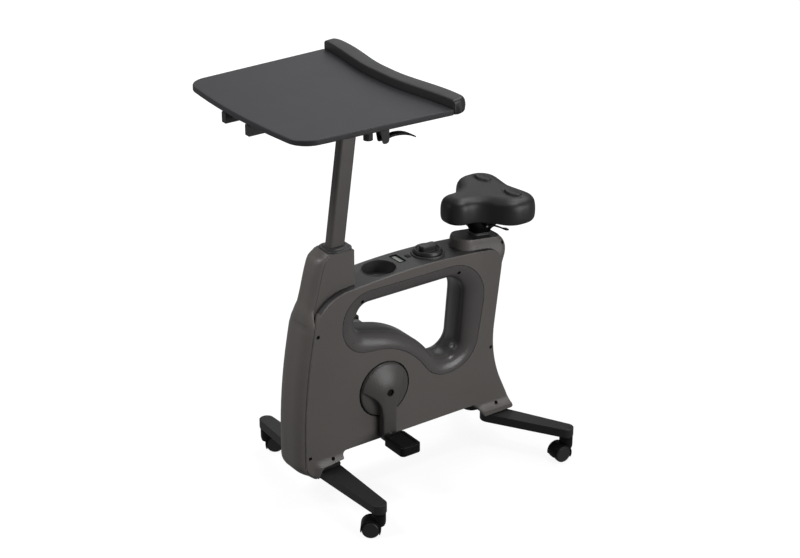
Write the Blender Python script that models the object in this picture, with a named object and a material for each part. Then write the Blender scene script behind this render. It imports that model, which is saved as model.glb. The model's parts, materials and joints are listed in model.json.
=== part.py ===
# Desk exercise bike: a pedal drive in a moulded housing on four caster legs, with a saddle and a
# height-adjustable desk. Lengths are metres. +X points to the saddle end, +Y to the rider's right,
# +Z up; the floor is z = 0 and y = 0 is the mid-plane of the housing.
from math import acos, asin, atan2, ceil, cos, hypot, pi, radians, sin, sqrt, tan

import bmesh
import bpy
from mathutils import Matrix, Vector

# Fits and walls
GAP = 0.0003                 # left between pieces that touch or run on each other
WALL = 0.003                 # moulded covers
PLATE = 0.004                # side panels
CHORD_ERROR = 0.0007         # how far a facet may leave its arc
TURN_STEPS = 16              # facets round a turned piece
LARGE_STEPS = 24             # round the crank discs and their wells
HIDDEN_STEPS = 12            # round the drive inside the housing
CORNER_STEPS = 3             # in each corner of the posts and what fits round them
LOOP_STEPS = 5               # in each corner of the handle opening

# Stand
WHEEL_RADIUS = 0.025
CASTER_HALF_WIDTH = 0.0224
CASTER_WEB = 0.0068          # half thickness of the web between the twin wheels
CASTER_TRAIL = 0.0215
CASTER_HEIGHT = 0.0737
CASTER_NECK_RADIUS = 0.0195
HOOD_GAP = 0.0012            # between a wheel's tread and its hood
HOOD_WALL = 0.0023
STEM_RADIUS = 0.005
LEG_HEIGHT = 0.027
LEG_BOTTOM = CASTER_HEIGHT + GAP
LEG_TOP = LEG_BOTTOM + LEG_HEIGHT
FOOT_PLATE_TOP = LEG_TOP + 0.0083
LEG_PIVOT_Y = 0.045
PIVOT_RADIUS = 0.008
FRONT_PIVOT_X = -0.236
FRONT_STEM = (-0.233, 0.286)
FRONT_LEG_RADII = (0.032, 0.022)
REAR_PIVOT_X = 0.330
REAR_STEM = (0.448, 0.253)
REAR_LEG_RADII = (0.030, 0.0207)
NEAR_FRONT_CASTER = radians(-37.8)      # heading of the trail of each caster, from +X
NEAR_REAR_CASTER = radians(-3.9)
FAR_FRONT_CASTER = radians(150.0)
FAR_REAR_CASTER = radians(30.0)

# Housing, in side view
HOUSING_HALF = 0.062
COVER_HALF = HOUSING_HALF - PLATE - GAP
HOUSING_FRONT = -0.319
HOUSING_REAR_TOP = 0.356
HOUSING_WAIST = 0.3135
HOUSING_HEEL = 0.3955
DECK_HEIGHT = 0.640
TOE_HEIGHT = 0.084
SKIRT_HEIGHT = 0.104
BELLY_HEIGHT = 0.144
FRONT_ANKLE_REAR = -0.198
REAR_ANKLE_FRONT = 0.262
SKIRT_TOP = 0.143            # the skirts over the legs start to stand out below this height
FRONT_FLARE = 0.008
REAR_FLARE = 0.012
FRONT_FLARE_X = (-0.294, -0.276)        # between these the skirt swings out
REAR_FLARE_X = (0.270, 0.288)
PANEL_EDGE = 0.0025          # rounding of the panels' outer edge
FRONT_BULGE = 0.020
FRONT_CORNER = 0.038
REAR_BULGE = 0.007
REAR_SEAM = DECK_HEIGHT - 0.074         # where the top cover meets the rear cover
REAR_CREASE = DECK_HEIGHT - 0.104       # the rear cover starts to bulge below this height
NECK_HALF = 0.038
NECK_REAR = -0.138
NECK_TOP = DECK_HEIGHT + 0.0945
CAP_X = (-0.2135, -0.1345)   # cap round the desk post on top of the neck
CAP_HEIGHT = 0.0085
# front seam of the neck: x, and height above the deck
NECK_SEAM = ((-0.2785, -0.098), (-0.273, -0.064), (-0.264, -0.037), (-0.256, -0.010),
             (-0.249, 0.018), (-0.242, 0.045), (-0.234, 0.070), (-0.227, 0.0815),
             (-0.2150, 0.0910))

# Handle opening: x, height and radius of each corner, drawn for a body that rises 0.496 m from
# its belly to its deck; a lower or higher deck draws the heights together or apart
DRAWN_RISE = 0.496
BODY_STRETCH = (DECK_HEIGHT - BELLY_HEIGHT) / DRAWN_RISE
TRIM_LOOP = ((-0.188, 0.611, 0.092), (-0.199, 0.432, 0.090), (0.013, 0.419, 0.217),
             (0.115, 0.281, 0.087), (0.251, 0.280, 0.097), (0.308, 0.609, 0.115))
GRIP_LOOP = ((-0.119, 0.566, 0.039), (-0.164, 0.494, 0.035), (0.046, 0.438, 0.276),
             (0.142, 0.316, 0.060), (0.216, 0.324, 0.048), (0.235, 0.568, 0.066))
TRIM_OPENING_HALF = 0.030    # half width of the inner band of the opening

# Desk post and seat post, each a rounded tube leaning towards the rider
POST_FOOT = (-0.1755, NECK_TOP + 0.0075)     # where the desk post's axis passes its cap
POST_LEAN = radians(7.75)
POST_SIZE = (0.050, 0.031)
POST_CORNER = 0.009
POST_WALL = 0.0025
POST_INSERTED = 0.150
SEAT_FOOT = (0.312, DECK_HEIGHT + 0.014)     # where the seat post's axis passes its tower's top
SEAT_LEAN = radians(7.0)
SEAT_INSERTED = 0.290
SEAT_SHOWN = 0.050
SLEEVE_WALL = 0.003
BUSH_WALL = 0.0024           # plastic bush between a sleeve and its post
BUSH_DEPTH = 0.040
COLLAR_LIP = 0.0055
COLLAR_HEIGHT = 0.007
SPRING_RADIUS = 0.0105
SPRING_ROD = 0.0045
NECK_SLEEVE_TOP = -0.016     # heights along the leaning axes, from the foot of each post
POST_CROSSBAR = -0.421       # bars that the gas springs stand on
SEAT_CROSSBAR = -0.302
CROSSBAR = 0.005

# Drive
CRANK_X = -0.058
CRANK_Z = BELLY_HEIGHT + 0.153 * BODY_STRETCH
CRANK_LENGTH = 0.135
CRANK_DISC = 0.080
CRANK_WELL = 0.084
CRANK_FACE = 0.093           # outer face of the arms
CRANK_INNER = 0.066
AXLE_RADIUS = 0.0085
BOLT_RECESS = 0.014
RECESS_FLOOR = 0.0805
SHELL_RADIUS = 0.022
BEARING_RADIUS = 0.017
PEDAL_SIZE = (0.066, 0.092, 0.028)
PEDAL_INNER = 0.103
PEDAL_CORNER = 0.012
SPINDLE_RADIUS = 0.007
PULLEY_RADIUS = 0.073
BELT_WALL = 0.002
BELT_Y = (0.0195, 0.0305)
FLYWHEEL_X = 0.225
FLYWHEEL_Z = 0.222
FLYWHEEL_RADIUS = 0.058
FLYWHEEL_HALF = 0.010
SMALL_PULLEY = 0.015
FLY_AXLE_RADIUS = 0.006
BEAM_Y = (-0.042, -0.014)
BEAM_Z = (0.150, 0.180)
MAGNET_GAP = 0.006
MAGNET_DEPTH = 0.008
MAGNET_PIN = 0.003

# Console
CUP_X = -0.033
CUP_RADIUS = 0.048
CUP_DEPTH = 0.045
LENS_BOX = ((0.031, -0.010), (0.054, 0.043))
LENS_THICKNESS = 0.0018
BUTTON_BOX = ((0.065, 0.009), (0.086, 0.023))
BUTTON_HEIGHT = 0.0045
KNOB_X = 0.133
KNOB_RADIUS = 0.041
KNOB_BASE = 0.048
KNOB_RING = 0.005
KNOB_HEIGHT = 0.012
KNOB_SHAFT = 0.006
KNOB_GRIP = 0.009

# Desk
BOARD_TOP = 1.180
BOARD_THICKNESS = 0.0155
BOARD_HALF_REAR = 0.300
BOARD_TAPER = 0.05           # the sides draw in by this much for each metre forward
BOARD_FRONT = -0.4697
BOARD_CORNER = 0.062
BOARD_EDGE = 0.0025
BOARD_DROP = 0.0575075       # from the board's top down to the end of the post
PAD_TOP = BOARD_TOP + 0.026
PAD_ENDS = -0.009            # where the pad's front face stands at its ends
PAD_MIDDLE = -0.037          # and at the middle
PAD_REAR_ENDS = 0.045
PAD_REAR_MIDDLE = 0.014
RAIL_Y = 0.057
RAIL_SIZE = (0.020, 0.0285)
RAIL_REAR = -0.042
CARRIAGE_X = (-0.165, -0.075)
CARRIAGE_PLATE = 0.004
LEVER_Y = 0.050 - BOARD_HALF_REAR
LEVER_PIVOT = (-0.188, BOARD_TOP - 0.054)
LEVER_TUBE = 0.007
LEVER_PIN = 0.0035
POST_SHOWN = (BOARD_TOP - BOARD_DROP - POST_FOOT[1]) / cos(POST_LEAN)

# Saddle
SADDLE_NOSE = 0.190
SADDLE_REAR = 0.445
SADDLE_HALF = 0.135
SADDLE_BOTTOM = SEAT_FOOT[1] + 0.059
SADDLE_TOP = SADDLE_BOTTOM + 0.071
SADDLE_PAN = 0.006
SEAT_LEVER_PIVOT = (0.300, SADDLE_BOTTOM - 0.017)
SEAT_LEVER_Y = -0.046
SEAT_LEVER_PIN = 0.0025

HOUSING_GREY = (0.075, 0.068, 0.061)
CHARCOAL = (0.022, 0.022, 0.024)
BLACK = (0.012, 0.012, 0.013)
STEEL = (0.42, 0.42, 0.43)


def clear_scene():
    for thing in list(bpy.data.objects):
        bpy.data.objects.remove(thing, do_unlink=True)


def material(name, color, roughness, metallic=0.0):
    made = bpy.data.materials.new(name)
    made.use_nodes = True
    shader = made.node_tree.nodes["Principled BSDF"]
    shader.inputs["Base Color"].default_value = (*color, 1.0)
    shader.inputs["Roughness"].default_value = roughness
    shader.inputs["Metallic"].default_value = metallic
    return made


def finish(name, bm, color, roughness=0.5, metallic=0.0, location=(0, 0, 0), turn=(0, 0, 0)):
    """an object of its own from a closed bmesh, with its own material"""
    bmesh.ops.remove_doubles(bm, verts=bm.verts, dist=0.000005)
    bmesh.ops.recalc_face_normals(bm, faces=bm.faces)
    mesh = bpy.data.meshes.new(name)
    bm.to_mesh(mesh)
    bm.free()
    piece = bpy.data.objects.new(name, mesh)
    bpy.context.scene.collection.objects.link(piece)
    piece.location = location
    piece.rotation_euler = turn
    piece.data.materials.append(material(name, color, roughness, metallic))
    mesh.shade_smooth()
    mesh.set_sharp_from_angle(angle=radians(32))
    return piece


def bake(piece):
    """the modifiers' result becomes the piece's own mesh"""
    graph = bpy.context.evaluated_depsgraph_get()
    graph.update()
    made = bpy.data.meshes.new_from_object(piece.evaluated_get(graph))
    piece.modifiers.clear()
    piece.data = made
    made.shade_smooth()
    made.set_sharp_from_angle(angle=radians(32))
    return piece


def boolean(piece, tool, operation):
    """cut a tool from a piece, or join it on, and remove the tool"""
    tool.hide_render = True
    tool.display_type = "WIRE"
    change = piece.modifiers.new(operation.lower(), "BOOLEAN")
    change.operation = operation
    change.solver = "EXACT"
    change.object = tool
    bake(piece)
    bpy.data.objects.remove(tool, do_unlink=True)
    return piece


def cut(piece, tool):
    return boolean(piece, tool, "DIFFERENCE")


def weld(piece, tool):
    return boolean(piece, tool, "UNION")


def soften(piece, width, segments=2, angle=radians(50)):
    """round the edges that turn more sharply than the angle"""
    edge = piece.modifiers.new("edge", "BEVEL")
    edge.width = width
    edge.segments = segments
    edge.limit_method = "ANGLE"
    edge.angle_limit = angle
    return bake(piece)


def smooth_step(start, end, value):
    """0 at start, 1 at end, eased at both"""
    share = min(1.0, max(0.0, (value - start) / (end - start)))
    return share * share * (3 - 2 * share)


def arc_steps(radius, sweep):
    step = 2 * acos(max(0.0, 1 - CHORD_ERROR / max(radius, 0.0011)))
    return max(1, ceil(abs(sweep) / step))


def rounded(corners, steps=None):
    """closed outline through corners (a, b, radius), each rounded to its radius"""
    points = []
    count = len(corners)
    for index, (a, b, radius) in enumerate(corners):
        here = Vector((a, b))
        if radius <= 0:
            points.append(here)
            continue
        back = (Vector(corners[index - 1][:2]) - here).normalized()
        ahead = (Vector(corners[(index + 1) % count][:2]) - here).normalized()
        half = back.angle(ahead) / 2
        centre = here + (back + ahead).normalized() * radius / sin(half)
        reach = radius / tan(half)
        first = here + back * reach - centre
        last = here + ahead * reach - centre
        start = atan2(first.y, first.x)
        sweep = (atan2(last.y, last.x) - start + pi) % (2 * pi) - pi
        number = steps or arc_steps(radius, sweep)
        for step in range(number + 1):
            angle = start + sweep * step / number
            points.append(centre + Vector((cos(angle), sin(angle))) * radius)
    return points


def box_outline(width, depth, radius=0.0, middle=(0, 0), steps=None):
    a, b = width / 2, depth / 2
    signs = ((-1, -1), (1, -1), (1, 1), (-1, 1))
    return rounded([(middle[0] + s * a, middle[1] + t * b, radius) for s, t in signs], steps)


def shifted(points, distance):
    """a closed outline moved outwards by a distance, square to itself"""
    area = sum(p.x * q.y - q.x * p.y for p, q in zip(points, points[1:] + points[:1]))
    side = 1 if area > 0 else -1
    moved = []
    for before, here, after in zip(points[-1:] + points[:-1], points, points[1:] + points[:1]):
        first = (here - before).normalized()
        second = (after - here).normalized()
        normal = Vector((first.y + second.y, -first.x - second.x)).normalized() * side
        spread = max(0.5, sqrt(max(0.0, (1 + first.dot(second)) / 2)))
        moved.append(here + normal * distance / spread)
    return moved


def circle(radius, steps=TURN_STEPS, middle=(0, 0), outside=False):
    """points round a circle; outside puts the facets, not the corners, at the radius"""
    reach = radius / cos(pi / steps) if outside else radius
    turns = [2 * pi * k / steps for k in range(steps)]
    return [Vector((middle[0] + reach * cos(t), middle[1] + reach * sin(t))) for t in turns]


def hull_of_circles(first, second, length, steps=9):
    """outline round two circles, the first at the origin and the second at (length, 0)"""
    lean = acos((first - second) / length)
    points = []
    for step in range(2 * steps + 1):
        angle = lean + (2 * pi - 2 * lean) * step / (2 * steps)
        points.append(Vector((cos(angle), sin(angle))) * first)
    for step in range(steps + 1):
        angle = -lean + 2 * lean * step / steps
        points.append(Vector((length, 0)) + Vector((cos(angle), sin(angle))) * second)
    return points


def lift(points, height, plane="XY"):
    """2D points in space: XY at a height z, or XZ at a depth y"""
    if plane == "XY":
        return [Vector((p[0], p[1], height)) for p in points]
    return [Vector((p[0], height, p[1])) for p in points]


def prism(name, points, low, high, color, plane="XY", **looks):
    """an outline extruded from low to high"""
    bm = bmesh.new()
    face = bm.faces.new([bm.verts.new(p) for p in lift(points, low, plane)])
    top = bmesh.ops.extrude_face_region(bm, geom=[face])["geom"]
    rise = Vector((0, 0, high - low)) if plane == "XY" else Vector((0, high - low, 0))
    verts = [item for item in top if isinstance(item, bmesh.types.BMVert)]
    bmesh.ops.translate(bm, verts=verts, vec=rise)
    return finish(name, bm, color, **looks)


def block(name, low, high, color, **looks):
    points = [Vector((low[0], low[1])), Vector((high[0], low[1])),
              Vector((high[0], high[1])), Vector((low[0], high[1]))]
    return prism(name, points, low[2], high[2], color, **looks)


def skin(name, loops, color, ring=False, **looks):
    """a solid through closed loops of equal count, in order, capped or closed in a ring"""
    bm = bmesh.new()
    rows = [[bm.verts.new(point) for point in loop] for loop in loops]
    pairs = list(zip(rows, rows[1:]))
    if ring:
        pairs.append((rows[-1], rows[0]))
    else:
        bm.faces.new(rows[0])
        bm.faces.new(rows[-1])
    for lower, upper in pairs:
        count = len(lower)
        for k in range(count):
            nxt = (k + 1) % count
            bm.faces.new((lower[k], lower[nxt], upper[nxt], upper[k]))
    return finish(name, bm, color, **looks)


def turned(name, profile, color, steps=TURN_STEPS, axis="Z", **looks):
    """a closed profile of (radius, height) points spun round an axis"""
    bm = bmesh.new()
    verts = [bm.verts.new((radius, 0, height)) for radius, height in profile]
    edges = [bm.edges.new(pair) for pair in zip(verts, verts[1:])]
    if min(profile[0][0], profile[-1][0]) > 0:
        edges.append(bm.edges.new((verts[-1], verts[0])))
    bmesh.ops.spin(bm, geom=verts + edges, cent=(0, 0, 0), axis=(0, 0, 1), angle=2 * pi,
                   steps=steps, use_merge=True, use_normal_flip=False, use_duplicate=False)
    bmesh.ops.remove_doubles(bm, verts=bm.verts, dist=0.000005)
    if axis == "Y":
        bmesh.ops.rotate(bm, verts=bm.verts, matrix=Matrix.Rotation(-pi / 2, 3, "X"))
    return finish(name, bm, color, **looks)


def rod(name, radius, low, high, color, axis="Z", steps=16, outside=False, **looks):
    """a plain round bar, or with outside a cutter for a bore"""
    reach = radius / cos(pi / steps) if outside else radius
    profile = [(0, low), (reach, low), (reach, high), (0, high)]
    return turned(name, profile, color, steps, axis, **looks)


def cover_sheet(name, rows, color, inside, wall=WALL, **looks):
    """a moulded cover: an open sheet of points given its wall on the inner side"""
    bm = bmesh.new()
    grid = [[bm.verts.new(point) for point in row] for row in rows]
    for lower, upper in zip(grid, grid[1:]):
        for k in range(len(lower) - 1):
            bm.faces.new((lower[k], lower[k + 1], upper[k + 1], upper[k]))
    bmesh.ops.recalc_face_normals(bm, faces=bm.faces)
    facing = sum(face.normal.dot(face.calc_center_median() - Vector(inside)) * face.calc_area()
                 for face in bm.faces)
    if facing < 0:
        bmesh.ops.reverse_faces(bm, faces=bm.faces)
    mesh = bpy.data.meshes.new(name)
    bm.to_mesh(mesh)
    bm.free()
    piece = bpy.data.objects.new(name, mesh)
    bpy.context.scene.collection.objects.link(piece)
    shell = piece.modifiers.new("wall", "SOLIDIFY")
    shell.thickness = wall
    shell.offset = -1
    shell.use_even_offset = True
    bake(piece)
    piece.data.materials.clear()
    roughness = looks.get("roughness", 0.5)
    piece.data.materials.append(material(name, color, roughness, looks.get("metallic", 0.0)))
    return piece


def walled(name, outer, inner, color, **looks):
    """a cover between an outer and an inner grid of points, closed along its four edges"""
    bm = bmesh.new()
    grids = [[[bm.verts.new(point) for point in row] for row in rows] for rows in (outer, inner)]
    for grid in grids:
        for lower, upper in zip(grid, grid[1:]):
            for k in range(len(lower) - 1):
                bm.faces.new((lower[k], lower[k + 1], upper[k + 1], upper[k]))
    rims = []
    for grid in grids:
        rims.append(grid[0] + [row[-1] for row in grid[1:]] + grid[-1][-2::-1]
                    + [row[0] for row in grid[-2:0:-1]])
    count = len(rims[0])
    for k in range(count):
        nxt = (k + 1) % count
        bm.faces.new((rims[0][k], rims[0][nxt], rims[1][nxt], rims[1][k]))
    return finish(name, bm, color, **looks)


def parent(pieces, holder):
    """hang pieces on an empty without moving them"""
    for piece in pieces:
        piece.parent = holder
        piece.matrix_parent_inverse = holder.matrix_world.inverted()


def empty(name, location, turn=(0, 0, 0)):
    made = bpy.data.objects.new(name, None)
    bpy.context.scene.collection.objects.link(made)
    made.location = location
    made.rotation_euler = turn
    bpy.context.view_layer.update()
    return made


# Outlines of the housing

def raised(height):
    """a height of the body as drawn, moved with the deck"""
    return BELLY_HEIGHT + (height - BELLY_HEIGHT) * BODY_STRETCH


def opening(loop):
    """rounded outline of a loop of the handle opening"""
    return rounded([(x, raised(z), radius * min(1.0, BODY_STRETCH)) for x, z, radius in loop],
                   LOOP_STEPS)


def housing_outline():
    """side view of the housing, anticlockwise with x to the right and z up"""
    arch = SKIRT_HEIGHT + 0.012
    return rounded([
        (HOUSING_FRONT, TOE_HEIGHT + 0.028, 0.045),
        (FRONT_PIVOT_X - 0.046, TOE_HEIGHT - 0.001, 0.003),
        (FRONT_PIVOT_X - 0.035, arch, 0.020),
        (FRONT_ANKLE_REAR, arch + 0.006, 0.003),
        (FRONT_ANKLE_REAR, BELLY_HEIGHT - 0.0005, 0.012),
        (REAR_ANKLE_FRONT, BELLY_HEIGHT + 0.001, 0.012),
        (REAR_ANKLE_FRONT + 0.028, SKIRT_HEIGHT - 0.001, 0.008),
        (HOUSING_HEEL, SKIRT_HEIGHT, 0.006),
        (HOUSING_WAIST, raised(0.290), 0.370),
        (HOUSING_REAR_TOP, DECK_HEIGHT - 0.018, 0.052),
        (0.081, DECK_HEIGHT + 0.006, 2.0),
        (HOUSING_FRONT + 0.053, DECK_HEIGHT - 0.020, 0.122),
        (HOUSING_FRONT, raised(0.332), 1.65 * BODY_STRETCH),
    ])


def stretch(outline, start, end, trim=GAP / 2):
    """the part of a closed outline from near one point to near another, in its own order"""
    count = len(outline)
    lengths = [0.0]
    for k in range(count):
        lengths.append(lengths[-1] + (outline[(k + 1) % count] - outline[k]).length)
    total = lengths[-1]

    def place(target):
        best = (1e9, 0.0)
        for k in range(count):
            here = outline[k]
            along = outline[(k + 1) % count] - here
            share = max(0.0, min(1.0, (Vector(target) - here).dot(along) / along.length_squared))
            distance = (here + along * share - Vector(target)).length
            best = min(best, (distance, lengths[k] + share * along.length))
        return best[1]

    def at(position):
        position %= total
        for k in range(count):
            if position <= lengths[k + 1]:
                share = (position - lengths[k]) / (lengths[k + 1] - lengths[k])
                return outline[k].lerp(outline[(k + 1) % count], share)
        return outline[0].copy()

    first = place(start) + trim
    last = place(end) - trim
    if last < first:
        last += total
    inner = sorted(value + turn * total for value in lengths[:-1] for turn in (0, 1))
    kept = [value for value in inner if first + 0.0005 < value < last - 0.0005]
    return [at(value) for value in [first, *kept, last]]


def normals(path):
    """outward normals along an open path that runs anticlockwise"""
    found = []
    for k, _ in enumerate(path):
        before = path[max(0, k - 1)]
        after = path[min(len(path) - 1, k + 1)]
        along = (after - before).normalized()
        found.append(Vector((along.y, -along.x)))
    return found


def ankle_flare(x, z):
    """how far the skirt over a leg stands out from the flat side"""
    height = smooth_step(SKIRT_TOP, SKIRT_HEIGHT, z)
    if x < 0:
        outer, inner = FRONT_FLARE_X
        return FRONT_FLARE * height * smooth_step(outer - 0.004, inner + 0.004, x)
    inner, outer = REAR_FLARE_X
    return REAR_FLARE * height * smooth_step(inner - 0.004, outer + 0.004, x)


def cover_half(point):
    return COVER_HALF + 0.90 * ankle_flare(point[0], point[1])


def denser(path, longest, below):
    """a path with its long steps divided where it lies below a height"""
    points = [path[0]]
    for here, there in zip(path, path[1:]):
        count = 1
        if min(here.y, there.y) < below:
            count = max(1, ceil((there - here).length / longest))
        points += [here.lerp(there, k / count) for k in range(1, count + 1)]
    return points


def with_heights(path, heights):
    """a rising path with points added at given heights"""
    points = list(path)
    for height in heights:
        for k, (here, there) in enumerate(zip(points, points[1:])):
            if here.y < height < there.y:
                points.insert(k + 1, here.lerp(there, (height - here.y) / (there.y - here.y)))
                break
    return points


def section_rows(path, half_width, bulge, corner, corner_steps=4, wall=0.0):
    """rows across a cover: it rises from each seam round an elliptical corner to a flat crown;
    with a wall, the rows of its inner face, square to the seam at the rim"""
    rows = []
    for point, normal in zip(path, normals(path)):
        half = half_width(point)
        rise = bulge(point, normal)
        reach = corner(point)
        side = []
        for step in range(corner_steps + 1):
            angle = pi / 2 * step / corner_steps
            inward = Vector((rise * cos(angle), reach * sin(angle))).normalized() * wall
            side.append((half - reach + reach * cos(angle) - inward.x,
                         rise * sin(angle) - inward.y))
        across = [(-y, out) for y, out in side] + [(y, out) for y, out in reversed(side)]
        rows.append([Vector((point[0] + normal.x * out, y, point[1] + normal.y * out))
                     for y, out in across])
    return rows


# Housing

def side_panel(side):
    """flat moulded side with the handle opening, the well of the crank and skirts over the legs"""
    name = ("left" if side < 0 else "right") + "_side_panel"
    outer = housing_outline()
    inner = HOUSING_HALF - PLATE
    panel = prism(name, outer, inner, HOUSING_HALF, HOUSING_GREY, "XZ", roughness=0.45)
    bm = bmesh.new()
    bm.from_mesh(panel.data)
    rim = [edge for edge in bm.edges
           if all(abs(v.co.y - HOUSING_HALF) < 1e-6 for v in edge.verts)]
    bmesh.ops.bevel(bm, geom=rim, offset=PANEL_EDGE, segments=1, profile=0.5, affect="EDGES")
    for height in (SKIRT_TOP - depth for depth in (0.0, 0.010, 0.019, 0.030)):
        faces = [f for f in bm.faces if min(v.co.z for v in f.verts) < SKIRT_TOP]
        geom = faces + list({e for f in faces for e in f.edges}) + list(
            {v for f in faces for v in f.verts})
        bmesh.ops.bisect_plane(bm, geom=geom, plane_co=(0, 0, height), plane_no=(0, 0, 1))
    for across in (*FRONT_FLARE_X, *REAR_FLARE_X):
        faces = [f for f in bm.faces if max(v.co.z for v in f.verts) < SKIRT_TOP + 1e-5]
        geom = faces + list({e for f in faces for e in f.edges}) + list(
            {v for f in faces for v in f.verts})
        bmesh.ops.bisect_plane(bm, geom=geom, plane_co=(across, 0, 0), plane_no=(1, 0, 0))
    for vert in bm.verts:
        vert.co.y += ankle_flare(vert.co.x, vert.co.z)
    bmesh.ops.triangulate(bm, faces=[f for f in bm.faces if f.calc_center_median().z < SKIRT_TOP])
    bm.to_mesh(panel.data)
    bm.free()
    loop = shifted(opening(TRIM_LOOP), GAP)
    cut(panel, prism("opening", loop, inner - 0.01, HOUSING_HALF + 0.01, BLACK, "XZ"))
    centre = (CRANK_X, CRANK_Z)
    cut(panel, prism("well", circle(CRANK_WELL, LARGE_STEPS, centre), inner - 0.01,
                     HOUSING_HALF + 0.01, BLACK, "XZ"))
    weld(panel, crank_well())
    if side < 0:
        mirror_y(panel)
    return panel


def crank_well():
    """dish behind the crank's disc, with a hole for the axle"""
    outer = CRANK_WELL + 0.0025
    back = HOUSING_HALF - 0.018
    profile = [(SHELL_RADIUS - 0.003, back), (outer, back), (outer, HOUSING_HALF - 0.001),
               (CRANK_WELL - 0.0002, HOUSING_HALF - 0.001), (CRANK_WELL - 0.0002, back + 0.0025),
               (SHELL_RADIUS - 0.003, back + 0.0025)]
    return turned("dish", profile, HOUSING_GREY, LARGE_STEPS, "Y", location=(CRANK_X, 0, CRANK_Z))


def mirror_y(piece):
    """the same piece for the other side"""
    bm = bmesh.new()
    bm.from_mesh(piece.data)
    bmesh.ops.scale(bm, verts=bm.verts, vec=(1, -1, 1))
    bmesh.ops.reverse_faces(bm, faces=bm.faces)
    bm.to_mesh(piece.data)
    bm.free()
    piece.location.y *= -1


def handle_trim(side):
    """scooped rim that rolls from the flat side into the handle opening"""
    name = ("left" if side < 0 else "right") + "_handle_trim"
    outer = opening(TRIM_LOOP)
    grip = opening(GRIP_LOOP)
    behind = shifted(grip, WALL)
    depth = HOUSING_HALF - TRIM_OPENING_HALF - GAP
    steps = 4
    loops = []
    for step in range(steps + 1):
        angle = pi / 2 * step / steps
        y = HOUSING_HALF - depth * (1 - cos(angle))
        loops.append([Vector((p.x, side * y, p.y)) for p in
                      (a.lerp(b, sin(angle)) for a, b in zip(outer, grip))])
    for step in (4, 2, 0):
        angle = pi / 2 * step / steps
        y = HOUSING_HALF - WALL - (depth - WALL) * (1 - cos(angle))
        loops.append([Vector((p.x, side * y, p.y)) for p in
                      (a.lerp(b, sin(angle)) for a, b in zip(outer, behind))])
    return skin(name, loops, HOUSING_GREY, ring=True, roughness=0.42)


def handle_band():
    """wall that lines the handle opening between the two trims"""
    grip = opening(GRIP_LOOP)
    behind = shifted(grip, WALL)
    half = TRIM_OPENING_HALF
    loops = [lift(grip, -half, "XZ"), lift(grip, half, "XZ"),
             lift(behind, half, "XZ"), lift(behind, -half, "XZ")]
    return skin("handle_band", loops, HOUSING_GREY, ring=True, roughness=0.45)


def neck_seam(shift=0.0):
    """front seam of the neck as x and z points, moved along x"""
    return [Vector((x + shift, DECK_HEIGHT + up)) for x, up in NECK_SEAM]


def front_width(point):
    """half width of the front cover: full on the body, narrow on the neck"""
    narrow = NECK_HALF - GAP
    return narrow + (cover_half(point) - narrow) * (
        1 - smooth_step(DECK_HEIGHT - 0.105, DECK_HEIGHT - 0.050, point[1]))


def front_cover():
    """bulged cover from the toe up the front of the body and over the front of the neck"""
    outline = housing_outline()
    body = stretch(outline, (HOUSING_FRONT + 0.040, DECK_HEIGHT - 0.115),
                   (FRONT_PIVOT_X - 0.050, TOE_HEIGHT))
    neck = neck_seam()[::-1]
    path = neck + denser(body, 0.014, 0.125)

    def bulge(point, normal):
        rise = FRONT_BULGE * max(0.0, -normal.x) ** 1.8
        return max(rise, 0.009 if point[1] > DECK_HEIGHT + 0.060 else 0.001)

    def corner(point):
        return FRONT_CORNER - (FRONT_CORNER - 0.025) * smooth_step(
            DECK_HEIGHT - 0.105, DECK_HEIGHT - 0.040, point[1])

    outer = section_rows(path, front_width, bulge, corner, 3)
    inner = section_rows(path, front_width, bulge, corner, 3, WALL)
    return walled("front_cover", outer, inner, HOUSING_GREY, roughness=0.42)


def neck_cover():
    """upright shroud round the desk post's sleeve"""
    seam = neck_seam(2 * GAP)
    rear = rounded([(-0.2095, NECK_TOP, 0), (NECK_REAR, NECK_TOP, 0.004),
                    (NECK_REAR, DECK_HEIGHT - 0.012, 0)])
    foot = [Vector((x, DECK_HEIGHT - down)) for x, down in
            ((-0.190, 0.027), (-0.232, 0.046), (-0.259, 0.074))]
    profile = seam[1:] + rear + foot
    shroud = prism("neck_cover", profile, -NECK_HALF, NECK_HALF, HOUSING_GREY, "XZ",
                   roughness=0.42)
    bm = bmesh.new()
    bm.from_mesh(shroud.data)
    edges = []
    for edge in bm.edges:
        a, b = edge.verts
        side = abs(abs(a.co.y) - NECK_HALF) < 1e-6 and abs(a.co.y - b.co.y) < 1e-6
        top = min(a.co.z, b.co.z) > NECK_TOP - 0.005 and min(a.co.x, b.co.x) > -0.211
        back = min(a.co.x, b.co.x) > NECK_REAR - 0.005 and min(a.co.z, b.co.z) > DECK_HEIGHT - 0.02
        if side and (top or back):
            edges.append(edge)
    bmesh.ops.bevel(bm, geom=edges, offset=0.003, segments=2, profile=0.5, affect="EDGES")
    bm.to_mesh(shroud.data)
    bm.free()
    hollow = neck_seam(-0.02)[:6]
    hollow += [Vector((-0.250, NECK_TOP - WALL)), Vector((NECK_REAR - WALL, NECK_TOP - WALL)),
               Vector((NECK_REAR - WALL, DECK_HEIGHT - 0.09)),
               Vector((-0.30, DECK_HEIGHT - 0.14))]
    cut(shroud, prism("hollow", hollow, -NECK_HALF + WALL, NECK_HALF - WALL, BLACK, "XZ"))
    hole = box_outline(POST_SIZE[0] + 2 * BUSH_WALL + 4 * GAP, POST_SIZE[1] + 2 * BUSH_WALL
                       + 4 * GAP, POST_CORNER)
    cut(shroud, prism("hole", hole, -0.04, 0.03, BLACK, **leaning(POST_FOOT, POST_LEAN)))
    return shroud


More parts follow.
